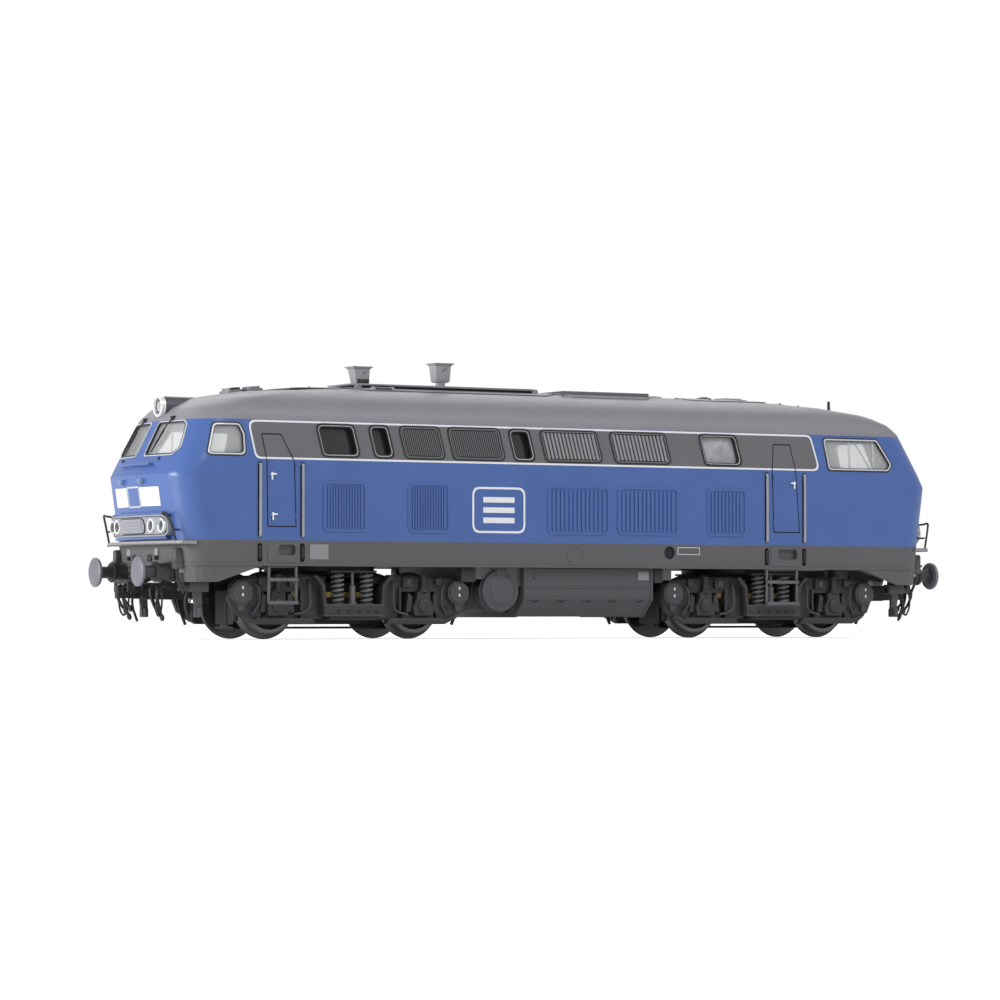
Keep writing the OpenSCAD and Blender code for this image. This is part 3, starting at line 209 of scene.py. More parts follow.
class Build:
    """Collects solids in millimetres, each with its own material, into one piece."""

    def __init__(self):
        self.points, self.faces, self.kinds, self.mats = [], [], [], []

    def kind(self, m):
        if m not in self.mats:
            self.mats.append(m)
        return self.mats.index(m)

    def add(self, points, faces, m, at=None):
        n = len(self.points)
        self.points += [Vector(p) if at is None else at @ Vector(p) for p in points]
        self.faces += [[i + n for i in f] for f in faces]
        self.kinds += [self.kind(m)] * len(faces)

    def lump(self, b, m, at=None):
        """Adds what a bmesh holds and frees it."""
        b.verts.index_update()
        self.add([v.co.copy() for v in b.verts], [[v.index for v in f.verts] for f in b.faces], m, at)
        b.free()

    def box(self, low, high, m, edge=0.0, at=None):
        """A block between two corners, with its edges rounded by edge."""
        b = bmesh.new()
        size = [high[i] - low[i] for i in range(3)]
        mid = [(high[i] + low[i]) / 2 for i in range(3)]
        bmesh.ops.create_cube(b, size=1, matrix=Matrix.Translation(mid) @ Matrix.Diagonal((*size, 1)))
        if edge:
            bmesh.ops.bevel(b, geom=list(b.edges), offset=edge, segments=2, profile=0.5,
                            affect="EDGES", clamp_overlap=True)
        self.lump(b, m, at)

    def lathe(self, profile, m, at=None, n=32, axis="X"):
        """Turns (distance along the axis, radius) pairs; the ends close on the axis."""
        points, faces = [], []
        for d, r in profile:
            for i in range(n):
                a = 2 * math.pi * i / n
                points.append({"X": (d, r * math.cos(a), r * math.sin(a)),
                               "Y": (r * math.sin(a), d, r * math.cos(a)),
                               "Z": (r * math.cos(a), r * math.sin(a), d)}[axis])
        for j in range(len(profile) - 1):
            for i in range(n):
                k = (i + 1) % n
                faces.append([j * n + i, j * n + k, (j + 1) * n + k, (j + 1) * n + i])
        faces.append([i for i in range(n)][::-1])
        faces.append([(len(profile) - 1) * n + i for i in range(n)])
        self.add(points, [f[::-1] for f in faces], m, at)

    def tube(self, path, r, m, n=10, at=None, closed=False, bend=0):
        """A round wire or hose along a path; bend rounds it by corner cutting."""
        path = [Vector(p) for p in path]
        for _ in range(bend):
            new = [] if closed else [path[0]]
            pairs = zip(path, path[1:] + ([path[0]] if closed else []))
            for a, c in pairs:
                new += [a.lerp(c, 0.25), a.lerp(c, 0.75)]
            if not closed:
                new.append(path[-1])
            path = new
        points, faces = [], []
        side = None
        count = len(path)
        for i, p in enumerate(path):
            a = path[i - 1] if (i or closed) else p
            c = path[(i + 1) % count] if (i < count - 1 or closed) else p
            d = (c - a).normalized()
            if side is None:
                side = d.orthogonal().normalized()
            side = (side - d * side.dot(d)).normalized()
            up = d.cross(side)
            for k in range(n):
                w = 2 * math.pi * k / n
                points.append(p + (side * math.cos(w) + up * math.sin(w)) * r)
        rows = count if closed else count - 1
        for i in range(rows):
            for k in range(n):
                j, q = (i + 1) % count, (k + 1) % n
                faces.append([i * n + k, i * n + q, j * n + q, j * n + k])
        if not closed:
            faces.append(list(range(n))[::-1])
            faces.append([(count - 1) * n + k for k in range(n)])
        self.add(points, faces, m, at)

    def prism(self, poly, low, high, m, at=None, axis="Y", edge=0.0):
        """A flat shape pushed from low to high along the axis: (x, z) along Y, (y, z) along X."""
        if area(poly) < 0:
            poly = poly[::-1]
        put = {"Y": lambda p, d: (p[0], d, p[1]), "X": lambda p, d: (d, p[0], p[1]),
               "Z": lambda p, d: (p[0], p[1], d)}[axis]
        b = bmesh.new()
        base = [b.verts.new(put(p, low)) for p in poly]
        top = [b.verts.new(put(p, high)) for p in poly]
        n = len(poly)
        b.faces.new(base)
        b.faces.new(top[::-1])
        for i in range(n):
            b.faces.new([base[i], top[i], top[(i + 1) % n], base[(i + 1) % n]])
        bmesh.ops.recalc_face_normals(b, faces=list(b.faces))
        if edge:
            rim = [e for e in b.edges if abs({"Y": e.verts[0].co.y - e.verts[1].co.y,
                                              "X": e.verts[0].co.x - e.verts[1].co.x,
                                              "Z": e.verts[0].co.z - e.verts[1].co.z}[axis]) < 1e-6]
            bmesh.ops.bevel(b, geom=rim, offset=edge, segments=2, profile=0.5, affect="EDGES",
                            clamp_overlap=True)
        bmesh.ops.triangulate(b, faces=[f for f in b.faces if len(f.verts) > 4])
        self.lump(b, m, at)

    def make(self, name, gone=(), far=False, body="frame"):
        """Makes the piece, riding on a body and standing for the CAD nodes in gone."""
        add_mesh(name, self.points, self.faces, self.mats, self.kinds, 35, body, far, gone)


def area(poly):
    """Area of a closed shape, negative when it runs clockwise."""
    return sum(a[0] * b[1] - b[0] * a[1] for a, b in zip(poly, poly[1:] + poly[:1])) / 2


def shrink(poly, d):
    """Moves every edge of a closed shape inward by d."""
    if area(poly) < 0:
        poly = poly[::-1]
    out = []
    for i in range(len(poly)):
        p0, p1, p2 = (Vector(poly[k % len(poly)]) for k in (i - 1, i, i + 1))
        e1, e2 = (p1 - p0).normalized(), (p2 - p1).normalized()
        n1, n2 = Vector((-e1.y, e1.x)), Vector((-e2.y, e2.x))
        mid = (n1 + n2) / max(0.3, 1 + n1.dot(n2))
        out.append(tuple(p1 + mid * d))
    return out


def rounded(poly, r, n=5):
    """Replaces every corner by an arc of about radius r."""
    if area(poly) < 0:
        poly = poly[::-1]
    out = []
    for i in range(len(poly)):
        p0, p1, p2 = (Vector(poly[k % len(poly)]) for k in (i - 1, i, i + 1))
        a, c = p0 - p1, p2 - p1
        cut = min(r / max(0.2, math.tan(a.angle(c) / 2)), a.length * 0.48, c.length * 0.48)
        s, e = p1 + a.normalized() * cut, p1 + c.normalized() * cut
        for k in range(n + 1):
            t = k / n
            out.append(tuple(s * (1 - t) ** 2 + p1 * 2 * t * (1 - t) + e * t * t))
    return out


def rect(x0, z0, x1, z1):
    return [(x0, z0), (x1, z0), (x1, z1), (x0, z1)]


def soft(x0, z0, x1, z1, r, n=5):
    """A rectangle with rounded corners."""
    return rounded(rect(x0, z0, x1, z1), r, n)


def both_sides(half):
    """Closes an outline with its mirror image across the centre line."""
    return half + [(x, -y) for x, y in reversed(half)]


def disc(x, z, r, n=24):
    return [(x + r * math.cos(2 * math.pi * i / n), z + r * math.sin(2 * math.pi * i / n))
            for i in range(n)]


def fine(poly, step=0.8, closed=True):
    """Cuts every edge into pieces of about step."""
    out = []
    pairs = list(zip(poly, poly[1:] + poly[:1])) if closed else list(zip(poly, poly[1:]))
    for a, b in pairs:
        n = max(1, int(math.hypot(b[0] - a[0], b[1] - a[1]) / step))
        out += [(a[0] + (b[0] - a[0]) * i / n, a[1] + (b[1] - a[1]) * i / n) for i in range(n)]
    if not closed:
        out.append(poly[-1])
    return out


def inside(p, poly):
    """Whether a point lies within a closed shape, by counting crossings."""
    x, y = p
    hit = False
    j = len(poly) - 1
    for i in range(len(poly)):
        a, b = poly[i], poly[j]
        if (a[1] > y) != (b[1] > y) and x < (b[0] - a[0]) * (y - a[1]) / (b[1] - a[1]) + a[0]:
            hit = not hit
        j = i
    return hit


# ------------------------------------------------------------------ body outline, as in the CAD
# Heights of the skirt's foot, the belt line, the gutter and the crown; BOW is the nose's radius seen
# from above, and LEAN is how far the side leans in between belt and gutter. The tables give a value
# for a height: the nose's place on the centre line, the half width and the corner radius.
SKIRT_Z, BELT_Z, EAVE, CROWN = 13.35, 33.5, 41.7, 49.32
HALF_W, LEAN, NOSE_X, BOW = 17.5, 1.1, 90.5, 55.0
THICK = 1.1
ROOF_BEND = 2.4
NOSE = [(10.2, 87.6), (18.5, 88.6), (31, NOSE_X), (34.8, NOSE_X - 1.9), (42.2, NOSE_X - 5.7),
        (44.3, NOSE_X - 7.8), (46.3, NOSE_X - 12.3), (47.8, NOSE_X - 21.5), (48.7, NOSE_X - 33.5),
        (49.15, NOSE_X - 50.5), (49.3, NOSE_X - 70.5)]
SIDE = [(10.2, HALF_W - 0.3), (14, HALF_W), (BELT_Z, HALF_W), (EAVE, HALF_W - LEAN)]
CORNER = [(10, 4.5), (31, 5.5), (42.2, 7), (49, 10)]
BAND_Z = 34.05
DOOR_RAIL_X = (-71.2, -62.0, 46.3, 55.7)


def lookup(z, table):
    """Value of a table at a height, in a straight line between its entries."""
    if z <= table[0][0]:
        return table[0][1]
    for a, b in zip(table, table[1:]):
        if z <= b[0]:
            return a[1] + (b[1] - a[1]) * (z - a[0]) / (b[0] - a[0])
    return table[-1][1]


def half_width(z):
    """Half width of the body; above the gutter the roof follows a flattened arch."""
    if z <= EAVE:
        return lookup(z, SIDE)
    share = (z - EAVE) / (CROWN - EAVE)
    return (HALF_W - LEAN) * (1 - share * share) ** (1 / ROOF_BEND)


def section(z, inset=0.0):
    """Centre and radius of the corner's arc, the angle where it meets the bow, nose and half width."""
    l, w = lookup(z, NOSE) - inset, half_width(z) - inset
    r = max(0.4, min(lookup(z, CORNER), 0.97 * half_width(z)) - inset)
    cy = w - r
    cx = l - BOW + math.sqrt((BOW - r) ** 2 - cy * cy)
    return cx, cy, r, math.asin(cy / (BOW - r)), l, w


def wall(u, z, h=0.0):
    """Point of the outer wall on the -Y half: u runs along the outline from the middle of the side."""
    cx, cy, r, turn, l, w = section(z)
    s, a = (1 if u >= 0 else -1), abs(u)
    if a <= cx:
        return (u, -w - h, z)
    a -= cx
    arc = r * (math.pi / 2 - turn)
    if a <= arc:
        t = a / r
        return (s * (cx + (r + h) * math.sin(t)), -(cy + (r + h) * math.cos(t)), z)
    t = turn - (a - arc) / BOW
    return (s * (l - BOW + (BOW + h) * math.cos(t)), -(BOW + h) * math.sin(t), z)


def reach(z):
    """Length of the outline from the middle of the side to the middle of the nose."""
    cx, cy, r, turn, l, w = section(z)
    return cx + r * (math.pi / 2 - turn) + BOW * turn


def from_side(x, z):
    """Distance along the outline of the place x on the side, or on its rounded corner."""
    cx, cy, r = section(z)[:3]
    if abs(x) <= cx:
        return x
    return math.copysign(cx + r * math.asin(min(1, (abs(x) - cx) / r)), x)


def from_front(y, z):
    """Distance along the outline of the place |y| off the centre line on the nose."""
    cx, cy, r, turn, l, w = section(z)
    if y <= BOW * math.sin(turn):
        return reach(z) - BOW * math.asin(max(0, y) / BOW)
    return cx + r * math.acos(max(-1, min(1, (y - cy) / r)))


def nose_point(y, z, h=0.0):
    """Point of the nose at the +X end, y off the centre line and h above the wall."""
    p = wall(from_front(abs(y), z), z, h)
    return (p[0], math.copysign(abs(p[1]), y), z)


def roof_height(x, y):
    """Height of the roof skin above a place away from the rounded corners."""
    share = 1 - (min(abs(y), 16.3) / (HALF_W - LEAN)) ** ROOF_BEND
    z_side = EAVE + (CROWN - EAVE) * math.sqrt(max(0, share))
    l = abs(x) + BOW - math.sqrt(BOW ** 2 - y * y)
    z_nose = NOSE[-1][0]
    for a, b in zip(NOSE[3:], NOSE[4:]):
        if b[1] <= l <= a[1]:
            z_nose = a[0] + (b[0] - a[0]) * (a[1] - l) / (a[1] - b[1])
    return min(z_side, z_nose)


# ------------------------------------------------------------------ relief: flat shapes become raised
# or sunk steps, colours and openings of a moulded wall
def relief(domain, lines, regions, grid, place, base, depth, mats, back):
    """Cuts the domain by every shape, gives each cell the last region over it, and steps between
    their heights. A region is (shape, material, height), and height None is an opening."""
    points, edges = [], []

    def chain(p, closed):
        n = len(points)
        points.extend(Vector(q) for q in p)
        edges.extend((n + i, n + i + 1) for i in range(len(p) - 1))
        if closed:
            edges.append((n + len(p) - 1, n))

    chain(domain, True)
    for p in lines:
        chain(p, False)
    for shape, _, _ in regions:
        chain(shape, True)
    points.extend(Vector(p) for p in grid)
    flat, _, cells, *_ = delaunay_2d_cdt(points, edges, [], 0, 1e-4)
    boxes = [(min(p[0] for p in s), max(p[0] for p in s), min(p[1] for p in s), max(p[1] for p in s))
             for s, _, _ in regions]
    kept, kind = [], []
    for f in cells:
        f = list(f)
        p = sum((flat[i] for i in f), Vector((0, 0))) / len(f)
        a, b, c = (flat[i] for i in f[:3])
        turn = (b - a).cross(c - a)
        if abs(turn) < 1e-9 or not inside(p, domain):
            continue
        if turn < 0:
            f = f[::-1]
        what = base
        for k in range(len(regions) - 1, -1, -1):
            q = boxes[k]
            if q[0] <= p[0] <= q[1] and q[2] <= p[1] <= q[3] and inside(p, regions[k][0]):
                what = regions[k][1:]
                break
        kept.append(f)
        kind.append(what)
    out, faces, colours, seen = [], [], [], {}

    def corner(i, h):
        key = (i, round(h, 4))
        if key not in seen:
            seen[key] = len(out)
            out.append(place(flat[i][0], flat[i][1], h))
        return seen[key]

    owner = {}
    for n, f in enumerate(kept):
        for a, b in zip(f, f[1:] + f[:1]):
            owner[(a, b)] = n
    for n, f in enumerate(kept):
        m, h = kind[n]
        if h is None:
            continue
        faces.append([corner(i, h) for i in f])
        colours.append(mats.index(m))
        faces.append([corner(i, -depth) for i in f][::-1])
        colours.append(mats.index(back))
        for a, b in zip(f, f[1:] + f[:1]):
            other = owner.get((b, a))
            low = -depth
            if other is not None and kind[other][1] is not None:
                low = kind[other][1]
            if low < h - 1e-6:
                faces.append([corner(b, h), corner(a, h), corner(a, low), corner(b, low)])
                colours.append(mats.index(m))
    return out, faces, colours


# ------------------------------------------------------------------ shapes on the sides and noses
# Later shapes lie over earlier ones. Side shapes are (x, z) on the -Y side, seen from outside.
REGIONS = []


def side(poly, m, h, step=0.8):
    REGIONS.append(([(from_side(x, z), z) for x, z in fine(poly, step)], m, h))


def front(poly, m, h, step=0.5):
    """A (y, z) shape on one half of the nose and its mirror image on the other."""
    for s in (-1, 1):
        p = [(s * from_front(y, z), z) for y, z in fine(poly, step)]
        REGIONS.append((p if s > 0 else p[::-1], m, h))


def nest(lay, shape, rims, step):
    """Lays copies of a shape inside each other: inset, corner radius, material, height."""
    for inset, r, m, h in rims:
        lay(rounded(shrink(shape, inset), r, 5), m, h, step)


def skirt_and_band():
    """Skirt with its lip, then the printed band with its white outline."""
    for z, h in ((18.3, 0.0), (13.8, 0.14)):
        REGIONS.append((fine(rect(-reach(z) - 2, SKIRT_Z - 1, reach(z) + 2, z), 0.75), SKIRT, h))
    band = [(-73.4, 41.62), (-72.1, BAND_Z), (59.9, BAND_Z), (58.1, 41.62)]
    side(rounded(band, 1.5), WHITE, 0.01, 2.0)
    side(rounded(shrink(band, 0.36), 1.3), BAND, 0.01, 2.0)


def door(outline):
    """A leaf in a fine groove, with the band carried across its upper part."""
    groove = [(from_side(*p), p[1]) for p in shrink(outline, -0.13)]
    REGIONS.append((fine(groove, 2), GROOVE, -0.2))
    leaf = shrink(outline, 0.11)
    side(leaf, BLUE, 0.03, 2.0)
    z = BAND_Z + 0.35
    cut = []
    for a, b in zip(leaf, leaf[1:] + leaf[:1]):
        if a[1] >= z:
            cut.append(a)
        if (a[1] - z) * (b[1] - z) < 0:
            t = (z - a[1]) / (b[1] - a[1])
            cut.append((a[0] + (b[0] - a[0]) * t, z))
    side(cut, BAND, 0.03, 2.0)
    xs = [p[0] for p in cut if abs(p[1] - z) < 1e-3]
    side(rect(min(xs), BAND_Z, max(xs), z + 0.01), WHITE, 0.03, 2.0)


def doors_and_steps():
    """Doors, sunk channels of the hand rails, and step plates above the ladders."""
    door([(-70.5, 38.9), (-66.4, 38.9), (-63.8, 33.8), (-63.4, 21.0), (-69.5, 21.0), (-69.7, 33.8)])
    door([(48.5, 39.4), (52.6, 39.4), (53.6, 33.8), (54.5, 21.1), (48.1, 21.1), (47.7, 33.8)])
    for x in DOOR_RAIL_X:
        # The sunk rail channels are filled with near-black as painted shade in the recess.
        side(soft(x - 0.48, 18.75, x + 0.48, 33.6, 0.45, 4), SEAL, -0.45)
        side(soft(x - 0.5, 14.1, x + 0.5, 17.75, 0.45, 4), GROOVE, -0.75)
    for x0, x1, s0, s1 in ((-69.5, -62.85, -67.2, -63.5), (47.3, 54.7, 49.1, 53.9)):
        side(soft(x0, 14.0, x1, 18.1, 0.35, 3), SKIRT, 0.12)
        side(soft(s0, 15.4, s1, 17.5, 0.8, 4), SKIRT, -0.9)


def louvres():
    """Blue panels with upright slats below the band: ends of each panel and number of slats."""
    for x0, x1, n in ((-57.5, -48, 13), (-38.7, -29.3, 13), (-6.7, 7.8, 13), (9.8, 24.4, 13),
                      (31.5, 41.1, 9)):
        side(soft(x0, 20.1, x1, 29.9, 1.2, 4), BLUE, 0.22, 3)
        side(soft(x0 + 0.42, 20.5, x1 - 0.42, 29.5, 0.9, 4), BLUE, 0.0, 3)
        pitch = (x1 - x0 - 1.7) / n
        for i in range(n):
            a = x0 + 0.85 + (i + 0.22) * pitch
            side(soft(a, 20.9, a + 0.5 * pitch, 29.2, 0.3, 2), BLUE, 0.24, 4)


def band_openings():
    """Leaning windows and slatted grilles in the band: ends and number of slats, none for a window."""
    for x0, x1, n in ((-57.9, -49.9, 0), (-46.4, -42.3, 0), (-39.6, -30.8, 18), (-28.7, -17.1, 23),
                      (-14.7, -10.1, 0), (-7.4, 5.7, 14), (9.0, 22.2, 14), (30.7, 39.6, 0)):
        shape = [(x0 - 0.6, 41.0), (x1 - 0.6, 41.0), (x1 + 0.6, 34.9), (x0 + 0.6, 34.9)]
        nest(side, shape, ((-0.3, 1.3, SEAL, 0.14),), 2)
        if not n:
            nest(side, shape, ((0.1, 1.1, SILVER, 0.08), (0.22, 1.0, SEAL, 0.04), (0.42, 0.9, SEAL, None)),
                 2)
            continue
        nest(side, shape, ((0.02, 1.1, BAND, 0.12), (0.28, 0.9, GROOVE, -0.5)), 2)
        pitch = (x1 - x0 - 0.8) / n
        wide, slat, height = (0.6, SLAT, 0.1) if n < 16 else (0.5, BAND, 0.04)
        for i in range(n):
            a = x0 + 0.4 + (i + 0.2) * pitch
            w = wide * pitch
            side([(a - 0.5, 40.55), (a - 0.5 + w, 40.55), (a + 0.5 + w, 35.35), (a + 0.5, 35.35)], slat,
                 height, 3)


def cab_windows():
    """Side windows of both cabs, windscreens, and the plates and centre panel of the nose."""
    small = [(-82.1, 35.2), (-80.4, 40.7), (-75.3, 40.7), (-74.4, 38.8), (-74.4, 34.9), (-81.6, 34.9)]
    large = [(61.3, 40.8), (74.8, 40.8), (78.1, 35.7), (77.2, 34.5), (62.2, 34.5)]
    for shape, r in ((small, 0.9), (large, 0.7)):
        nest(side, shape, ((-0.42, r + 0.35, SEAL, 0.1), (-0.14, r + 0.15, SILVER, 0.18),
                           (0.16, r, SEAL, 0.06), (0.3, r - 0.1, SEAL, None)), 0.8)
    pane = [(2.0, 34.9), (11.8, 34.9), (13.3, 36.2), (11.9, 40.6), (10.9, 41.3), (1.8, 41.3)]
    nest(front, pane, ((-0.28, 0.9, SILVER, 0.14), (-0.04, 0.7, SEAL, 0.06), (0.2, 0.6, SEAL, None)), 0.5)
    front(rect(3.0, 24.9, 10.0, 28.6), WHITE, 0.14)
    front(rect(0, 24.7, 2.7, 28.8), SILVER, 0.12)
    front(rect(0, 25.0, 2.4, 28.5), BLUE, 0.1)


def skirt_parts_and_sign():
    """Filler covers and blank panels of the skirt, then a plain sign of three bars in a frame."""
    side(disc(-0.2, 15.8, 1.95), SKIRT, 0.1)
    side(disc(-0.2, 15.8, 1.7), SKIRT, 0.02)
    side(disc(22.4, 16.6, 1.35), GROOVE, -0.5)
    side(rect(-60.3, 14.7, -56.3, 17.6), SLAT, 0.03, 2)
    side(rect(24.3, 16.2, 29.7, 17.75), SILVER, 0.02, 2)
    side(rect(24.45, 16.35, 29.55, 17.6), SKIRT, 0.02, 2)
    sign = rect(-24.1, 20.2, -11.9, 29.4)
    side(rounded(sign, 1.7, 6), WHITE, 0.02, 2)
    side(rounded(shrink(sign, 0.42), 1.4, 6), BLUE, 0.02, 2)
    for z in (22.2, 24.25, 26.3):
        side(rect(-21.6, z, -14.4, z + 1.1), WHITE, 0.02, 2)


# ------------------------------------------------------------------ the moulded skin
def sides_and_noses():
    """Wraps half of the outline, with all its shapes, and adds the half-turn copy."""
    for lay in (skirt_and_band, doors_and_steps, louvres, band_openings, cab_windows,
                skirt_parts_and_sign):
        lay()
    rows, step = 40, 0.75
    levels = [SKIRT_Z + (EAVE - SKIRT_Z) * i / rows for i in range(rows + 1)]
    domain = [(reach(z), z) for z in levels] + [(-reach(z), z) for z in reversed(levels)]
    domain = fine(domain, step)
    lines, grid = [], []
    for z in (14.0, BELT_Z):
        lines.append(fine([(-reach(z) + 0.01, z), (reach(z) - 0.01, z)], step, False))
    for s in (-1, 1):
        for z in (18.5, 31.0, 34.8):
            lines.append(fine([(s * (section(z)[0] - 1), z), (s * (reach(z) - 0.01), z)], step, False))
    for s in (-1, 1):
        for i in range(1, rows):
            z = levels[i]
            cx, top = section(z)[0] - 0.5, reach(z)
            n = int((top - cx) / step)
            grid += [(s * (cx + (top - cx) * (k + 0.5 * (i % 2)) / n), z) for k in range(n)]
    mats = [BLUE, BAND, WHITE, SKIRT, ROOF, GROOVE, SILVER, SEAL, SLAT, INSIDE]
    out, faces, colours = relief(domain, lines, REGIONS, grid, wall, (BLUE, 0.0), THICK, mats, INSIDE)
    add_mesh("body_sides_and_noses", out, faces, mats, colours, 28, "frame",
             True, ["body_shell"])


def roof_ring(z, inset):
    """Outline of the body at a height, moved inward by inset."""
    n_front, n_corner = 8, 12
    cx, cy, r, turn, l, w = section(z, inset)
    half = [(l - BOW + BOW * math.cos(t), -BOW * math.sin(t)) for t in
            [turn * i / n_front for i in range(n_front)]]
    half += [(cx + r * math.cos(turn + (math.pi / 2 - turn) * i / n_corner),
              -(cy + r * math.sin(turn + (math.pi / 2 - turn) * i / n_corner)))
             for i in range(n_corner + 1)]
    quarter = half[::-1] + [(x, -y) for x, y in half[1:]]
    return quarter + [(-x, -y) for x, y in quarter]


def roof_skin():
    """Roof from the gutter up, with its inner face and the rim between them."""
    zs = [EAVE, 42.2, 42.8, 43.5, 44.3, 44.9, 45.5, 46.0, 46.4, 46.8, 47.2, 47.55, 47.8, 48.05, 48.3,
          48.5, 48.7, 48.85, 49.0, 49.08, 49.15, 49.2, 49.24, 49.27]
    rows, size = len(zs), len(roof_ring(EAVE, 0))
    points = [(x, y, z) for z in zs for x, y in roof_ring(z, 0)]
    points += [(x, y, max(EAVE, z - THICK)) for z in zs for x, y in roof_ring(z, THICK)]
    faces, colours = [], []
    for j in range(rows - 1):
        for i in range(size):
            k = (i + 1) % size
            outer = [j * size + i, j * size + k, (j + 1) * size + k, (j + 1) * size + i]
            faces += [outer, [q + rows * size for q in outer][::-1]]
            colours += [0, 1]
    faces.append([(rows - 1) * size + i for i in range(size)])
    faces.append([(2 * rows - 1) * size + i for i in range(size)][::-1])
    colours += [0, 1]
    for i in range(size):
        k = (i + 1) % size
        faces.append([k, i, rows * size + i, rows * size + k])
        colours.append(1)
    add_mesh("roof_skin", points, faces, [ROOF, INSIDE], colours, 40, "frame")


sides_and_noses()
roof_skin()


# ------------------------------------------------------------------ carried CAD nodes get finishes
def dress(name, m):
    """Gives a CAD node its finish."""
    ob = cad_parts[name]
    for slot in ob.material_slots:
        slot.material = m
    if not ob.material_slots:
        ob.data.materials.append(m)


CARRIED = {"cab_glazing": CLEAR, "engine_room_glazing": DARK_GLASS, "radiator_grille": BLACK,
           "cooling_fan": BLACK, "end_aprons": SKIRT, "roof_fittings": ROOF, "lamp_lenses": LENS,
           "windscreen_wipers": BLACK, "handrails": BLACK, "buffers": BUFFER, "brake_hoses": BLACK,
           "footsteps": DETAIL_GREY, "chassis_frame": ZINC, "fuel_tank": TANK_GREY,
           "air_tanks": TANK_GREY, "cab_interiors": CAB, "circuit_board": BOARD,
           "frame_screws": STEEL, "motor_housing": STEEL, "motor_rotor": COPPER, "flywheels": BRASS}
OF_BOGIE = {"gear_case": BLACK, "bottom_cover": BLACK, "side_frames": FRAME_GREY,
            "springs": FRAME_GREY, "worm_cover": BLACK, "pickups": BRASS, "pins_and_bushes": BRASS,
            "worm": STEEL, "worm_wheel": BRASS, "idler_a": NYLON, "idler_b": NYLON,
            "idler_c": NYLON, "idler_d": NYLON}
for name, finish in CARRIED.items():
    dress(name, finish)
for n in (1, 2):
    dress(f"cardan_shaft_{n}", BLACK)
    for name, finish in OF_BOGIE.items():
        dress(f"bogie_{n}_{name}", finish)
    for name in ("drawbar", "head", "loop"):
        dress(f"coupler_{n}_{name}", BLACK)
for n in (1, 2, 3, 4):
    dress(f"wheelset_{n}", WHEEL_STEEL)


# ------------------------------------------------------------------ pads that follow a surface
def pad(b, poly, low, high, m, place, step=0.8):
    """A plate following a surface, from low to high above it."""
    if area(poly) < 0:
        poly = poly[::-1]
    poly = fine(poly, step)
    xs, zs = [p[0] for p in poly], [p[1] for p in poly]
    grid = []
    for i in range(1, int((max(xs) - min(xs)) / step)):
        for j in range(1, int((max(zs) - min(zs)) / step)):
            p = (min(xs) + i * step, min(zs) + j * step)
            if inside(p, poly):
                grid.append(p)
    out, faces, _ = relief(poly, [], [], grid, place, (m, high), -low, [m], m)
    b.add(out, faces, m)


def on_roof(x, y, h):
    """Point above the roof skin."""
    return (x, y, roof_height(x, y) + h)


def at(x, y, z, turn=0.0, axis="Z"):
    """Moves a solid to a place after turning it about an axis."""
    return Matrix.Translation((x, y, z)) @ Matrix.Rotation(turn, 4, axis)


# ------------------------------------------------------------------ nose fittings
# Everything for an end is made at the +X end, and far=True adds the copy at the other end.
LAMP_Y, LAMP_Z = (-11.0, -7.6, 7.6, 11.0), 21.08
LAMP_FACE = 1.36
HEADLIGHT_Z = 44.6


def lamp_unit():
    """Raised panel with four lamp rings and a ribbed middle, ledges, lugs and screws."""
    b = Build()
    plates = [(soft(-12.75, 19.0, 12.75, 23.15, 1.9, 6), -0.5, 1.25, SILVER_GREY),
              (soft(-12.4, 19.3, 12.4, 22.85, 1.7, 6), 1.0, 1.3, SEAL),
              (soft(-12.25, 19.45, 12.25, 22.7, 1.6, 6), 1.0, LAMP_FACE, SILVER_GREY),
              (soft(-5.5, 19.5, 5.5, 22.6, 1.4, 6), 1.0, 1.5, SEAL),
              (soft(-5.3, 19.7, 5.3, 22.4, 1.25, 6), 1.0, 1.56, SILVER_GREY)]
    for z in [20.1 + i * 0.55 for i in range(4)]:
        plates.append((soft(-4.6, z, 4.6, z + 0.3, 0.14, 2), 1.4, 1.72, SILVER_GREY))
    plates += [(soft(-11.6, 23.15, 11.6, 23.6, 0.2, 2), -0.3, 0.9, BLUE),
               (soft(-11.6, 18.45, 11.6, 18.95, 0.2, 2), -0.3, 1.1, BLUE)]
    for shape, low, high, m in plates:
        pad(b, shape, low, high, m, nose_point)
    for y in LAMP_Y:
        b.lathe([(-0.5, 1.42), (0.12, 1.42), (0.24, 1.34), (0.26, 1.18), (0.2, 1.04), (-0.25, 0.98),
                 (-0.5, 0.98)], CHROME, at(*nose_point(y, LAMP_Z, LAMP_FACE)), 32)
    for y in (-4.4, 4.4):
        x = nose_point(y, 29.65)[0]
        b.box((x - 0.3, y - 0.5, 29.2), (x + 0.85, y + 0.5, 30.2), PALE_BLUE, 0.14)
        b.lathe([(0.6, 0.36), (1.1, 0.36), (1.16, 0.26)], PALE_BLUE, at(x - 0.1, y, 29.75), 16)
    for y in (-8.4, 8.4):
        b.lathe([(-0.3, 0.3), (0.28, 0.3), (0.34, 0.2)], SEAL, at(*nose_point(y, 34.05)), 16)
    b.make("nose_lamp_unit", far=True)


def running_board():
    """Curved step below the lamps, with a lip."""
    b = Build()
    bow = [-17.0 + 34.0 * i / 24 for i in range(25)]
    board = [(84.5, -17.3), (87.6, -17.3)]
    board += [(NOSE_X + 0.1 - BOW + math.sqrt(BOW ** 2 - y * y), y) for y in bow]
    board += [(87.6, 17.3), (84.5, 17.3), (84.5, 13.0), (86.2, 9), (86.2, -9), (84.5, -13.0)]
    b.prism(board, 17.45, 18.1, DETAIL_LIGHT, axis="Z")
    b.tube([(x - 0.1, y, 17.5) for x, y in board if x > 87.0], 0.16, DETAIL_GREY, 8)
    b.make("nose_running_board", far=True)


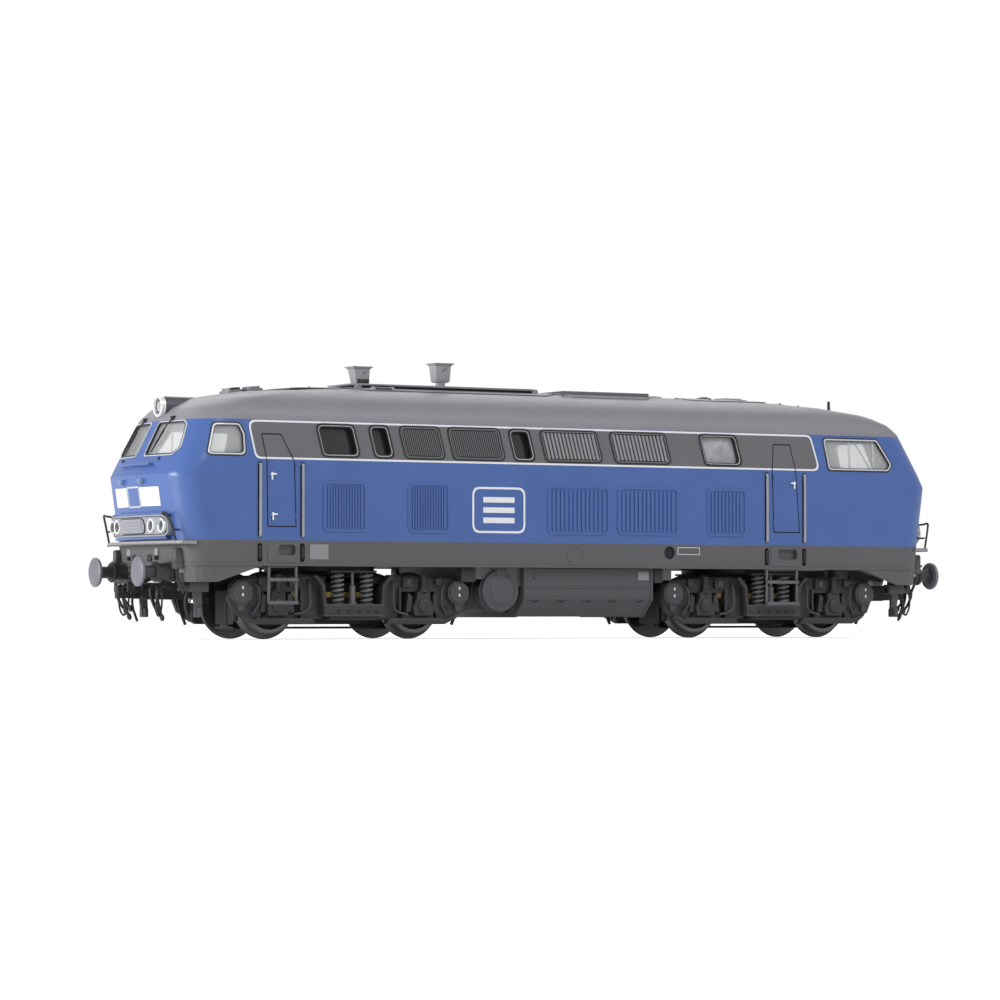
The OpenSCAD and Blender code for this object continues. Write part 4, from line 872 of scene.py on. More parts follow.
def headlight_and_lenses():
    """Upper headlight's housing and ring, then the lenses of all lamps."""
    b = Build()
    upper = at(0, 0, HEADLIGHT_Z)
    b.lathe([(76.0, 2.0), (84.2, 2.05), (84.6, 2.0)], HEADLIGHT_GREY, upper, 40)
    b.lathe([(84.0, 2.1), (84.85, 2.1), (85.0, 1.98), (85.0, 1.72), (84.8, 1.6), (84.1, 1.55),
             (84.0, 1.55)], CHROME, upper, 40)
    b.make("roof_headlight_ring", far=True)
    b = Build()
    b.lathe([(83.4, 1.54), (84.3, 1.54), (84.55, 1.2), (84.66, 0.7), (84.7, 0.15)], LENS, upper, 32)
    for y in LAMP_Y:
        b.lathe([(-0.3, 1.0), (0.06, 1.0), (0.13, 0.8), (0.18, 0.5), (0.2, 0.1)], LAMP_DARK,
                at(*nose_point(y, LAMP_Z, LAMP_FACE)), 28)
    b.make("lamp_lens_set", ["lamp_lenses"], far=True)


def wipers():
    """Pivot, arm and blade on each windscreen."""
    b = Build()
    lip = Vector((0.12, 0, 0))
    for y, lean in ((6.7, -1.5), (-6.1, -1.9)):
        top = Vector(nose_point(y, 42.0, 0.25))
        tip = Vector(nose_point(y + lean, 36.9, 0.55))
        b.lathe([(-0.5, 0.42), (0.35, 0.42), (0.5, 0.3)], BLACK, at(*nose_point(y, 42.1)), 16)
        b.box((top.x - 0.4, y - 0.42, 41.75), (top.x + 0.35, y + 0.42, 42.5), BLACK, 0.12)
        b.tube([top, top.lerp(tip, 0.3) + Vector((0.3, 0, 0.1)), tip], 0.15, BLACK, 8, bend=1)
        blade = [Vector(nose_point(y + lean * k, z, 0.36)) for k, z in ((0.62, 39.9), (1.35, 35.5))]
        b.tube(blade, 0.17, BLACK, 6)
        b.tube([p + lip for p in blade], 0.09, DETAIL_GREY, 6)
    b.make("wiper_set", ["windscreen_wipers"], far=True)


def rails_and_handles():
    """Bar below the windscreens, wire loops of the nose, door rails, handles and hinges."""
    b = Build()
    b.tube([(90.05 - (BOW - math.sqrt(BOW ** 2 - y * y)) * 0.4, y, 33.1) for y in
            [-7.2 + 1.2 * i for i in range(13)]], 0.27, BLUE, 10)
    for y in (-6.9, 6.9):
        b.tube([nose_point(y, 33.1, -0.2), (89.85, y, 33.1)], 0.22, BLUE, 8)
    for s in (-1, 1):
        b.tube([nose_point(s * 12.4, 23.0, -0.2), (90.1, s * 12.9, 23.3), (89.9, s * 14.5, 23.6),
                (89.2, s * 15.2, 22.0), (88.1, s * 15.7, 18.0)], 0.22, BLACK, 8, bend=2)
        b.tube([nose_point(s * 13.8, 20.2, -0.2), (88.7, s * 14.9, 20.3)], 0.2, BLACK, 8)
    y = -17.86
    for x in DOOR_RAIL_X:
        b.tube([(x, y + 0.9, 33.15), (x, y + 0.1, 33.1), (x, y, 32.7), (x, y, 19.5),
                (x, y + 0.1, 19.1), (x, y + 0.9, 19.05)], 0.27, RAIL, 10, bend=1)
        b.tube([(x, y + 1.0, 17.3), (x, y + 0.3, 17.2), (x, y + 0.2, 16.9), (x, y + 0.2, 15.0),
                (x, y + 0.3, 14.7), (x, y + 1.0, 14.6)], 0.22, BLACK, 8, bend=1)
    for x, z, s in ((-68.7, 31.0, 1), (-68.5, 23.2, 1), (53.1, 31.2, -1)):
        b.box((x - 0.16, -17.95, z - 1.0), (x + 0.16, -17.62, z + 0.55), CHROME, 0.08)
        b.box((min(x, x + s * 0.95), -18.0, z), (max(x, x + s * 0.95), -17.66, z + 0.32), CHROME, 0.08)
        b.lathe([(-17.9, 0.3), (-17.4, 0.3)], CHROME, at(x, 0, z + 0.15), 16, "Y")
    for z in (22.5, 27.5, 32.0):
        for x in (-63.4, 48.0):
            b.box((x - 0.16, -17.72, z), (x + 0.16, -17.4, z + 1.0), BLUE, 0.06)
    b.make("hand_rails_and_handles", ["handrails"], far=True)


# ------------------------------------------------------------------ roof
def lid(b, shape, groove, height, gap):
    """A hatch on the roof, with a dark groove round it."""
    pad(b, shape, -0.4, groove, GROOVE, on_roof, 1.2)
    pad(b, shrink(shape, gap), -0.4, height, ROOF, on_roof, 1.2)


def twin_vents(b):
    """Two low vents of two steps each, with a dark slot at either side."""
    for x in (-69.0, -64.6):
        for long, wide, r, low, high in ((1.995, 2.28, 1.7, -0.6, 0.5), (1.52, 1.74, 1.3, 0.3, 0.95)):
            pad(b, soft(x - long, -wide, x + long, wide, r, 6), low, high, ROOF, on_roof, 0.5)
        for s in (-1, 1):
            b.box((x - 1.0, s * 1.95 - 0.15, 48.2), (x + 1.0, s * 1.95 + 0.15, 48.62), GROOVE, 0.05)


def silencer_cover(b):
    """Raised lid over the silencer, with a shadow gap, end blocks and two oval vents."""
    lid(b, both_sides([(-46.6, 5.6), (-43.0, 8.6), (-1.5, 8.6), (2.0, 5.6)]), 0.08, 0.2, 0.16)
    top = both_sides([(-45.2, 4.6), (-43.4, 6.0), (-3.4, 6.0), (-1.4, 4.4)])
    b.prism(shrink(top, 0.5), 48.6, 49.72, GROOVE, axis="Z")
    b.prism(top, 49.66, 50.06, ROOF, axis="Z", edge=0.1)
    for s in (-1, 1):
        for x in (-43.6, -2.8):
            b.box((x - 0.7, s * 5.6 - 0.3, 48.3), (x + 0.7, s * 5.6 + 0.3, 49.8), ROOF, 0.1)
        b.tube([(-41.9, s * 7.3, 48.5), (-41.2, s * 7.5, 48.72), (-37.0, s * 7.5, 48.72),
                (-36.3, s * 7.3, 48.5)], 0.52, GROOVE, 12, bend=1)
        for x, d in ((-41.0, -0.9), (-37.2, 0.9)):
            b.lathe(sorted([(x, 0.7), (x + d * 0.5, 0.66), (x + d, 0.4), (x + d * 1.2, 0.15)]),
                    SILVER_GREY, at(0, s * 7.5, 48.72), 16)
        for z in (48.25, 49.2):
            b.tube([(-41.2, s * 7.72, z), (-37.0, s * 7.72, z)], 0.12, SILVER_GREY, 6)


def small_roof_parts(b):
    """Seat of the fan grille, domes, filler, hatch with its box, aerial and lifting studs."""
    pad(b, both_sides([(2.4, 5.6), (4.6, 8.8), (22.6, 8.8), (25.4, 5.4)]), -0.4, 0.34, ROOF, on_roof, 1.2)
    for x, r in ((28.8, 2.5), (60.4, 2.0)):
        z = roof_height(x, 0)
        b.lathe([(47.5, r), (z + 0.1, r), (z + 0.42, r * 0.82), (z + 0.56, r * 0.4)], ROOF,
                at(x, 0, 0), 40, "Z")
    filler = at(42.0, 0, 0)
    b.lathe([(48.4, 1.7), (49.5, 1.7), (49.74, 1.5), (49.78, 1.1)], DETAIL_GREY, filler, 36, "Z")
    b.lathe([(49.5, 0.9), (49.9, 0.9), (49.96, 0.5)], GROOVE, filler, 24, "Z")
    lid(b, both_sides([(33.0, 7.6), (38.0, 8.2), (52.6, 7.8), (54.6, 4.0)]), 0.05, 0.13, 0.13)
    b.prism(rect(44.4, -2.5, 51.6, 2.5), 48.5, 49.55, ROOF, axis="Z", edge=0.5)
    b.prism(rect(45.6, -1.7, 50.4, 1.7), 49.4, 49.8, ROOF, axis="Z", edge=0.4)
    b.lathe([(45.8, 0.7), (47.3, 0.7), (47.5, 0.45), (47.6, 0.34), (49.9, 0.3)], BLACK,
            at(74.1, 0, 0), 20, "Z")
    studs = ((-55, 6.6), (-50, 7.0), (31.2, 6.2), (39.0, 7.0), (47.0, 7.2), (58.0, 5.0), (63.0, 4.6))
    for x, y in studs:
        z = roof_height(x, y)
        for s in (-1, 1):
            b.lathe([(z - 0.3, 0.24), (z + 0.28, 0.24), (z + 0.34, 0.12)], ROOF, at(x, s * y, 0), 12, "Z")


def exhaust_hood(b, x, low, high, foot, lean, grid):
    """Leaning box on a stub, with a thin flared rim and an open top; foot is its lower half length."""
    rings = [(low, foot - 0.25, 1.0, lean), (low + 0.35, foot, 1.2, lean), (high - 0.5, 1.75, 1.45, 0),
             (high - 0.15, 2.2, 1.9, 0), (high + 0.02, 2.3, 2.0, 0), (high + 0.02, 2.15, 1.85, 0),
             (high - 0.3, 1.6, 1.3, 0), (low + 0.6, 1.1, 0.8, lean)]
    points, faces = [], []
    for z, long, wide, dx in rings:
        points += [(*p, z) for p in rect(x + dx - long, -wide, x + dx + long, wide)]
    for j in range(len(rings) - 1):
        for i in range(4):
            k = (i + 1) % 4
            faces.append([j * 4 + i, j * 4 + k, (j + 1) * 4 + k, (j + 1) * 4 + i])
    faces += [[3, 2, 1, 0], [28, 29, 30, 31]]
    b.add(points, faces, HOOD)
    b.lathe([(48.8, 0.98), (low + 0.1, 0.98)], HOOD, at(x + lean, 0, 0), 24, "Z")
    for s in (-1, 1):
        m = at(x, 0, 0, 0.0 if s < 0 else math.pi)
        off = lean * -s
        if grid:
            b.box((off - 1.3, -1.32, low + 0.35), (off + 1.4, -1.1, low + 1.15), BLACK, 0.03, m)
            for i in range(5):
                bar = off - 1.15 + i * 0.55
                b.box((bar, -1.37, low + 0.38), (bar + 0.08, -1.2, low + 1.12), DETAIL_GREY, 0.0, m)
        b.tube([(off - 0.2, -1.5, high - 1.5), (off + 0.2, -1.62, high - 1.2),
                (off + 0.6, -1.52, high - 0.9)], 0.09, DETAIL_GREY, 6, m)


def fan_grille():
    """Frame, close slats and cross bars over the dark shaft."""
    b = Build()
    x0, x1, w, z = 3.6, 23.4, 6.7, 49.55
    b.box((x0, -w, 48.3), (x1, w, 48.75), GROOVE)
    for s in (-1, 1):
        b.box((x0 - 0.5, s * w - 0.4, 48.5), (x1 + 0.5, s * w + 0.4, z + 0.3), DETAIL_GREY, 0.1)
    for x in (x0, x1):
        b.box((x - 0.4, -w, 48.5), (x + 0.4, w, z + 0.3), DETAIL_GREY, 0.1)
    for i in range(1, 7):
        x = x0 + (x1 - x0) * i / 7
        b.box((x - 0.18, -w, 48.9), (x + 0.18, w, z + 0.22), DETAIL_GREY, 0.05)
    for i in range(1, 22):
        y = -w + 2 * w * i / 22
        b.box((x0, y - 0.1, 48.95), (x1, y + 0.1, z + 0.1), BLACK, 0.03)
    for y in (-2.3, 2.3):
        b.box((x0, y - 0.2, 48.9), (x1, y + 0.2, z + 0.2), DETAIL_GREY, 0.05)
    b.make("fan_grille", ["radiator_grille"])


def roof():
    b = Build()
    twin_vents(b)
    lid(b, both_sides([(-62, 4.5), (-60, 8.2), (-49, 8.2), (-46.8, 5.6)]), 0.06, 0.16, 0.14)
    silencer_cover(b)
    small_roof_parts(b)
    exhaust_hood(b, -40.5, 50.12, 53.75, 1.45, 0.3, True)
    exhaust_hood(b, -21.8, 51.1, 55.0, 1.55, 0.05, False)
    b.make("roof_fittings_set", ["roof_fittings"])
    fan_grille()


# ------------------------------------------------------------------ buffers, hoses, ladders
BUFFER_Y, BUFFER_Z = 10.06, 12.2
HOSE_X = 87.2


def buffers():
    """Bolted base plate, sleeve, plunger and domed head."""
    b = Build()
    for y in (-BUFFER_Y, BUFFER_Y):
        m = at(0, y, BUFFER_Z)
        b.box((86.6, -2.0, -2.0), (87.3, 2.0, 2.0), DARK_GREY, 0.25, m)
        for p in (-1.55, 1.55):
            for q in (-1.55, 1.55):
                b.lathe([(87.2, 0.26), (87.5, 0.26), (87.56, 0.14)], DARK_GREY, m @ at(0, p, q), 10)
        b.lathe([(86.9, 1.75), (87.5, 1.75), (87.7, 1.62), (89.6, 1.6), (89.7, 1.95), (90.2, 1.98),
                 (90.4, 1.8), (90.45, 1.2)], DARK_GREY, m, 40)
        b.lathe([(90.2, 1.18), (92.6, 1.15), (92.9, 1.5), (93.3, 2.3)], DARK_GREY, m, 40)
        b.lathe([(93.05, 2.3), (93.2, 2.75), (93.45, 2.9), (93.75, 2.88), (93.95, 2.5), (94.1, 1.5),
                 (94.15, 0.4)], BUFFER, m, 48)
    b.make("buffer_set", ["buffers"], far=True)


def beam_fittings(b):
    """Lugs, boxes, draw hook and shackle on the buffer beam."""
    for y in (-6.4, 6.4):
        b.box((86.7, y - 0.8, 15.2), (88.2, y + 0.8, 16.9), DETAIL_LIGHT, 0.25)
        b.box((87.6, y - 0.35, 14.5), (88.5, y + 0.35, 15.4), DARK_GREY, 0.12)
    for y in (-3.4, 3.4):
        b.box((86.9, y - 0.9, 14.2), (88.3, y + 0.9, 15.6), BLACK, 0.2)
    for y in (-13.9, 13.9):
        b.box((86.0, y - 0.8, 12.6), (87.9, y + 0.8, 16.7), TANK_GREY, 0.4)
        b.box((86.3, y - 0.95, 14.0), (88.1, y + 0.95, 14.5), TANK_GREY, 0.12)
        b.tube([(87.0, y, 13.8), (87.2, y, 11.6), (86.4, y, 9.8), (85.6, y * 0.98, 8.0)], 0.3, BLACK, 8,
               bend=2)
        b.box((85.6, y - 0.4, 12.0), (86.8, y + 0.4, 13.6), DETAIL_LIGHT, 0.1)
    b.box((86.6, -1.5, 11.0), (87.5, 1.5, 14.2), DARK_GREY, 0.3)
    b.box((87.3, -0.4, 11.9), (89.6, 0.4, 13.0), BLACK, 0.2)
    b.tube([(89.2, 0, 12.9), (90.3, 0, 13.3), (90.8, 0, 12.6), (90.4, 0, 11.8), (89.8, 0, 11.9)], 0.32,
           BLACK, 8, bend=2)
    for s in (-1, 1):
        b.tube([(89.4, s * 0.75, 12.5), (90.2, s * 0.85, 11.9), (90.4, s * 0.75, 11.3)], 0.2, BLACK, 8,
               bend=1)
    b.lathe([(-1.0, 0.26), (1.0, 0.26)], BLACK, at(90.4, 0, 11.3), 12, "Y")


def hose(b, y, out, drop):
    """Tap, handle and hose that swings out and hangs by drop, with its end piece."""
    x, end_x, end_z = HOSE_X, HOSE_X + out * 0.35, 9.6 - drop
    b.box((x - 1.6, y - 0.4, 8.9), (x - 0.2, y + 0.4, 10.4), BLACK, 0.12)
    b.lathe([(x - 0.6, 0.42), (x + 0.7, 0.42), (x + 0.8, 0.3)], DARK_GREY, at(0, y, 9.6), 14)
    b.tube([(x + 0.6, y, 9.6), (x + out, y * 1.02, 9.5), (x + out + 0.5, y * 1.05, 8.2),
            (x + out * 0.8, y * 1.03, 9.6 - drop * 0.75), (end_x, y, end_z)], 0.3, BLACK, 8, bend=3)
    b.lathe([(-0.9, 0.3), (-0.5, 0.46), (0.1, 0.46), (0.3, 0.3)], DARK_GREY,
            at(end_x, y, end_z, 0.3, "Y"), 14, "Z")
    b.tube([(x - 0.2, y, 10.1), (x + 0.6, y + 0.1, 10.7), (x + 1.1, y + 0.25, 10.6)], 0.13, DETAIL_LIGHT,
           6, bend=1)


def hoses():
    b = Build()
    beam_fittings(b)
    for y, out, drop in ((-8.1, 2.2, 4.8), (-7.1, 1.4, 5.8), (-6.1, 2.0, 4.2), (6.1, 1.6, 4.6),
                         (7.1, 2.2, 5.2), (8.1, 1.3, 6.0)):
        hose(b, y, out, drop)
    for s in (-1, 1):
        b.tube([(87.4, s * 8.6, 10.4), (88.8, s * 8.9, 8.8), (89.2, s * 8.7, 5.6), (88.4, s * 8.2, 3.4),
                (87.6, s * 8.0, 4.8), (87.3, s * 7.6, 8.2), (87.2, s * 7.2, 10.0)], 0.2, BLACK, 7, bend=3)
    b.make("brake_hose_set", ["brake_hoses"], far=True)


def ladder(b, x0, x1):
    """Two stiles and two treads with lips below a cab door."""
    for x in (x0, x1 - 0.5):
        b.box((x, -17.3, 5.9), (x + 0.5, -16.75, 14.2), DETAIL_GREY, 0.1)
    for z, front in ((5.9, -17.85), (10.35, -17.75)):
        b.box((x0, front, z), (x1, -16.75, z + 0.42), DETAIL_GREY, 0.1)
        b.box((x0 + 0.1, front + 0.02, z + 0.4), (x1 - 0.1, front + 0.16, z + 0.66), DETAIL_GREY, 0.05)
    b.box((x0 + 0.2, -16.3, 13.0), (x1 - 0.2, -15.9, 13.6), DETAIL_GREY, 0.08)
    for x in (x0 + 0.25, x1 - 0.25):
        for z in (7.4, 11.6):
            b.lathe([(-17.42, 0.14), (-17.2, 0.14)], DETAIL_GREY, at(x, 0, z), 10, "Y")


def rail_guard(b, y):
    """Bracket ahead of the wheel with its boxes and sand pipe."""
    bracket = [(80.2, 9.6), (86.2, 9.6), (86.2, 8.5), (83.2, 8.5), (82.5, 3.6), (81.2, 3.6), (81.4, 8.5),
               (80.2, 8.5)]
    b.prism(bracket, y - 0.4, y + 0.4, TANK_GREY, axis="Y", edge=0.08)
    b.box((81.4, y - 1.6, 3.4), (82.3, y + 1.0, 5.2), TANK_GREY, 0.2)
    b.box((80.2, y - 1.3, 8.3), (84.2, y + 1.3, 10.3), TANK_GREY, 0.25)
    b.box((85.2, y - 0.6, 9.0), (86.2, y + 0.6, 11.0), TANK_GREY, 0.1)
    b.tube([(84.0, y, 9.0), (84.9, y * 0.98, 6.2), (83.6, y * 0.97, 2.6)], 0.28, BLACK, 8, bend=2)


def ladders_and_guards():
    b = Build()
    for x0, x1 in ((-69.3, -62.9), (46.3, 54.3)):
        ladder(b, x0, x1)
    for y in (-12.5, 12.5):
        rail_guard(b, y)
    b.make("ladders_and_guards", ["footsteps"], far=True)


# ------------------------------------------------------------------ below the frame, and windows
AIR_TANK = (-16.4, 8.7)


def fuel_tank_fittings(b):
    """End plates, seams and feet of the fuel tank; its blank panel and filler are drawn with the air tank
    fittings.
    """
    end = [(-16.1, 13.3), (16.1, 13.3), (16.1, 7.0), (12.4, 3.35), (-12.4, 3.35), (-16.1, 7.0)]
    for x in (-11.35, 18.75):
        b.prism(end, x, x + 0.5, TANK_GREY, axis="X", edge=0.12)
    for z, y in ((9.4, 16.08), (7.15, 16.1)):
        b.box((-10.9, -y, z - 0.14), (18.8, y, z + 0.14), TANK_GREY, 0.1)
    for x in [-8.6 + i * 6.2 for i in range(5)]:
        for s in (-1, 1):
            b.tube([(x - 0.9, s * 15.6, 6.7), (x - 0.4, s * 15.35, 6.15), (x + 0.4, s * 15.35, 6.15),
                    (x + 0.9, s * 15.6, 6.7)], 0.2, TANK_GREY, 8, bend=1)


def air_tank_fittings(b, s):
    """Straps, bracket, domed end and pipes on one side, then the boxes towards the bogies."""
    x, z = AIR_TANK
    b.box((15.6, s * 15.98 - 0.12, 10.9), (18.2, s * 15.98 + 0.12, 12.7), SLAT, 0.05)
    b.lathe([(s * 15.7, 0.55), (s * 16.15, 0.5)][::s], TANK_GREY, at(-8.6, 0, 11.6), 20, "Y")
    b.box((-17.5, s * 15.1 - 0.55, 11.6), (-15.3, s * 15.1 + 0.55, 13.5), TANK_GREY, 0.2)
    b.box((-18.1, s * 15.1 - 0.3, 12.9), (-14.7, s * 15.1 + 0.3, 13.4), TANK_GREY, 0.1)
    for y in (14.3, 11.0):
        b.tube([(p, s * y, q) for p, q in disc(x, z, 4.2, 40)], 0.18, TANK_GREY, 6, closed=True)
    b.lathe([(s * 15.3, 3.6), (s * 15.7, 3.0), (s * 15.95, 1.6), (s * 16.0, 0.4)][::s], TANK_GREY,
            at(x, 0, z), 40, "Y")
    b.tube([(-13.0, s * 13.5, 12.6), (-12.6, s * 14.2, 10.0), (-12.4, s * 14.0, 6.0),
            (-13.6, s * 13.0, 4.2)], 0.3, BLACK, 8, bend=2)
    for x0, x1 in ((20.2, 22.4), (-25.2, -21.8)):
        b.box((x0, s * 13.8 - 1.2, 10.4), (x1, s * 13.8 + 1.2, 13.4), DARK_GREY, 0.3)
    b.tube([(19.3, s * 12.2, 12.2), (21.0, s * 12.4, 11.0), (21.2, s * 12.4, 6.5)], 0.3, BLACK, 8, bend=2)


def tanks():
    b = Build()
    fuel_tank_fittings(b)
    for s in (-1, 1):
        air_tank_fittings(b, s)
    b.make("tank_fittings")


def window_panes():
    """Frosted pane of the bright engine-room window and bars of the large cab window."""
    b = Build()
    lean = math.atan(LEAN / (EAVE - BELT_Z))
    b.box((30.2, 0, 0.9), (40.1, 0.3, 8.2), FROST, 0.0, at(0, -16.55, BELT_Z, -lean, "X"))
    for x in (68.1, 74.2):
        b.tube([(x, -16.5, 35.0), (x, -16.03, 40.5)], 0.17, SILVER, 8)
    b.make("window_panes_and_bars", far=True)


# ------------------------------------------------------------------ bogies
# Each is drawn round its own pivot, one side facing -Y, and turned half a turn for the other side.
def middle(name, axis):
    """Middle of a CAD node along an axis, in millimetres."""
    low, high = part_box(name)
    return (low[axis] + high[axis]) / 2 / MM


WHEEL_X = {n: middle(f"wheelset_{n}", 0) for n in (1, 2, 3, 4)}
AXLE_Z = middle("wheelset_1", 2)
PIVOT_X = (WHEEL_X[3] + WHEEL_X[4]) / 2
AXLE = (WHEEL_X[4] - WHEEL_X[3]) / 2


def mirror(poly):
    """The shape on the other side of the pivot."""
    return [(-x, z) for x, z in poly][::-1]


def side_beams(b, m):
    """Upper beam with its rib, horn cheeks beside the axle, lower tie and spring carrier."""
    for poly, y0, y1, edge in (
            ([(6.4, 8.4), (6.9, 10.0), (8.6, 11.8), (13, 11.7), (21, 11.3), (24.5, 10.9), (26, 9.8),
              (26.3, 8.4)], -13.2, -12.0, 0.12),
            ([(6.9, 9.6), (8.8, 11.4), (21, 10.9), (24.2, 10.5), (24.0, 10.1), (21, 10.5), (9.0, 10.9),
              (7.3, 9.4)], -13.5, -13.1, 0.08),
            ([(6.0, 3.2), (6.4, 8.6), (10.7, 8.6), (11.1, 7.2), (10.4, 5.2), (10.9, 2.9), (8.6, 2.8)],
             -13.2, -12.0, 0.12),
            ([(19.1, 8.6), (26.3, 8.6), (26.5, 7), (25.4, 4.4), (22.5, 2.9), (19.7, 2.9), (19.0, 5.0),
              (18.7, 7.2)], -13.2, -12.0, 0.12),
            ([(7.6, 2.0), (21, 2.0), (23.8, 3.3), (23.4, 3.8), (21, 2.9), (20.6, 3.3), (8.6, 3.2)],
             -14.0, -12.4, 0.15),
            ([(10.9, 2.6), (19.6, 2.6), (18.6, 3.9), (12.2, 3.9)], -13.0, -12.2, 0.12),
            ([(6.0, 5.8), (6.8, 5.8), (7.1, 9.5), (8.9, 11.5), (8.1, 11.7), (6.4, 9.8)],
             -15.2, -13.0, 0.1)):
        for shape in (poly, mirror(poly)):
            b.prism(shape, y0, y1, FRAME_GREY, m, "Y", edge)
    b.box((-6.7, -15.4, 3.6), (6.7, -12.0, 5.95), FRAME_GREY, 0.25, m)
    b.box((-5.4, -15.1, 2.8), (5.4, -12.4, 3.7), BLACK, 0.2, m)
    b.box((-6.7, -15.5, 3.55), (6.7, -15.3, 3.85), COVER_GREY, 0.06, m)
    b.box((-6.8, -15.5, 5.6), (6.8, -15.2, 5.98), COVER_GREY, 0.06, m)
    for x in (-3.6, -1.3, 1.0, 3.0, 4.9):
        b.lathe([(-15.46, 0.34), (-15.2, 0.34)], GROOVE, m @ at(x, 0, 4.55), 14, "Y")


def axlebox(b, m, s):
    """Box, bolted cover, guide horns and damper at one axle."""
    box = [(14.0, 3.7), (18.2, 3.7), (18.5, 5.4), (17.7, 6.8), (17.5, 8.5), (14.7, 8.5), (14.5, 6.8),
           (13.7, 5.4)]
    hub = m @ at(s * AXLE, 0, AXLE_Z)
    b.prism([(s * x, z) for x, z in box], -14.3, -12.3, FRAME_GREY, m, "Y", 0.25)
    b.lathe([(-14.95, 0.5), (-14.9, 1.15), (-14.7, 1.4), (-14.2, 1.45)], FRAME_GREY, hub, 28, "Y")
    for x, z in disc(0, 0, 1.12, 6):
        b.lathe([(-14.86, 0.14), (-14.6, 0.16)], COVER_GREY, hub @ at(x, 0, z), 8, "Y")
    for horn in ([(12.3, 4.4), (13.6, 4.4), (13.9, 7.6), (12.9, 8.3)],
                 [(18.7, 4.4), (19.8, 4.4), (19.4, 8.3), (18.4, 7.6)]):
        b.prism([(s * x, z) for x, z in horn], -13.7, -12.4, FRAME_GREY, m, "Y", 0.15)
    b.lathe([(8.4, 0.95), (8.95, 0.98), (9.05, 0.6), (11.3, 0.55), (11.4, 0.85), (11.8, 0.8)],
            FRAME_GREY, m @ at(s * AXLE, -13.9, 0), 20, "Z")


def links(b, m, s):
    """Rod, pipes and brackets along one half of the side frame."""
    b.tube([(s * 10.9, -13.7, 4.7), (s * 10.9, -13.7, 9.2)], 0.3, FRAME_GREY, 8, m)
    b.tube([(s * 21.0, -13.6, 9.9), (s * 20.4, -14.1, 9.2), (s * 20.0, -14.1, 6.4),
            (s * 20.8, -13.8, 5.0), (s * 21.6, -13.4, 4.0)], 0.22, COVER_GREY, 7, m, bend=3)
    b.tube([(s * 9.0, -13.3, 10.6), (s * 9.4, -14.2, 9.6), (s * 9.0, -14.3, 6.0), (s * 10.0, -14.0, 4.4),
            (s * 12.6, -13.9, 4.0)], 0.24, COVER_GREY, 7, m, bend=3)
    b.box((s * 12.6 - 1.1, -14.1, 9.3), (s * 12.6 + 1.1, -13.0, 11.5), FRAME_GREY, 0.25, m)
    b.lathe([(-14.4, 0.6), (-14.0, 0.75)], COVER_GREY, m @ at(s * 12.6, 0, 10.4), 18, "Y")
    b.box((s * 19.6 - 0.7, -14.0, 9.7), (s * 19.6 + 0.7, -13.0, 11.3), FRAME_GREY, 0.2, m)


def end_cover(b, m, s):
    """Eight-sided cover with its tail and two marks, the hole beside it, hangers and sand pipe."""
    x, z, r = s * 24.0, 8.25, 2.55
    turn = math.pi / 8
    shape = [(x + r * math.cos(turn * (1 + 2 * i)), z + r * math.sin(turn * (1 + 2 * i)))
             for i in range(8)]
    tail = [(x - 0.8, 6.0), (x + 0.8, 6.0), (x + 0.5, 4.6), (x - 0.5, 4.6)]
    b.prism(rounded(shape, 0.8, 4), -14.3, -12.6, COVER_GREY, m, "Y", 0.2)
    b.prism(rounded(shrink(shape, 0.35), 0.7, 4), -14.6, -14.2, COVER_GREY, m, "Y", 0.15)
    b.prism(tail, -14.0, -13.0, COVER_GREY, m, "Y", 0.12)
    for z in (8.9, 7.5):
        b.box((x - 0.16, -14.66, z), (x + 0.16, -14.55, z + 0.55), WHITE, 0.0, m)
    hole = m @ at(s * 21.3, 0, 5.1)
    b.lathe([(-13.34, 1.0), (-13.1, 1.05)], FRAME_GREY, hole, 24, "Y")
    b.lathe([(-13.4, 0.78), (-13.2, 0.8)], GROOVE, hole, 24, "Y")
    b.box((s * 23.3 - 0.4, -10.3, 2.6), (s * 23.3 + 0.4, -8.9, 9.6), BLACK, 0.15, m)
    b.tube([(s * 25.6, -11.9, 9.0), (s * 26.0, -10.8, 6.0), (s * 25.0, -9.4, 1.9)], 0.32, BLACK, 8, m,
           bend=2)
    b.box((s * 8.5 - 0.4, -10.3, 2.6), (s * 8.5 + 0.4, -8.9, 9.6), BLACK, 0.15, m)


def bogie_side(b, m):
    """One side frame, and its half of the cross ties to the gear case."""
    side_beams(b, m)
    for s in (-1, 1):
        axlebox(b, m, s)
        links(b, m, s)
        end_cover(b, m, s)
    b.box((-5, -12.1, 10.0), (5, -4.0, 11.5), BLACK, 0.2, m)
    b.box((-8, -12.1, 10.0), (8, -10.9, 11.4), FRAME_GREY, 0.2, m)


def bogie_springs(b, m):
    """Two coil springs on their seats, the damper between them and the cap."""
    turns, steps, y = 6.5, 22, -14.1
    count = int(turns * steps)
    for x in (-3.2, 3.2):
        angles = [(i, 2 * math.pi * i / steps) for i in range(count + 1)]
        b.tube([(x + 1.12 * math.cos(w), y + 1.12 * math.sin(w), 6.1 + 6.2 * i / count)
                for i, w in angles], 0.27, SPRING_GREY, 7, m)
        b.lathe([(5.9, 1.4), (6.25, 1.4), (6.3, 0.75), (12.2, 0.7)], FRAME_GREY, m @ at(x, y, 0), 24, "Z")
    b.lathe([(5.9, 0.9), (6.3, 0.9), (6.4, 0.6), (9.6, 0.6), (9.7, 0.3), (12.3, 0.3)], SPRING_GREY,
            m @ at(0, -14.3, 0), 20, "Z")
    b.box((-5.0, -15.3, 12.2), (5.0, -12.8, 12.62), FRAME_GREY, 0.12, m)


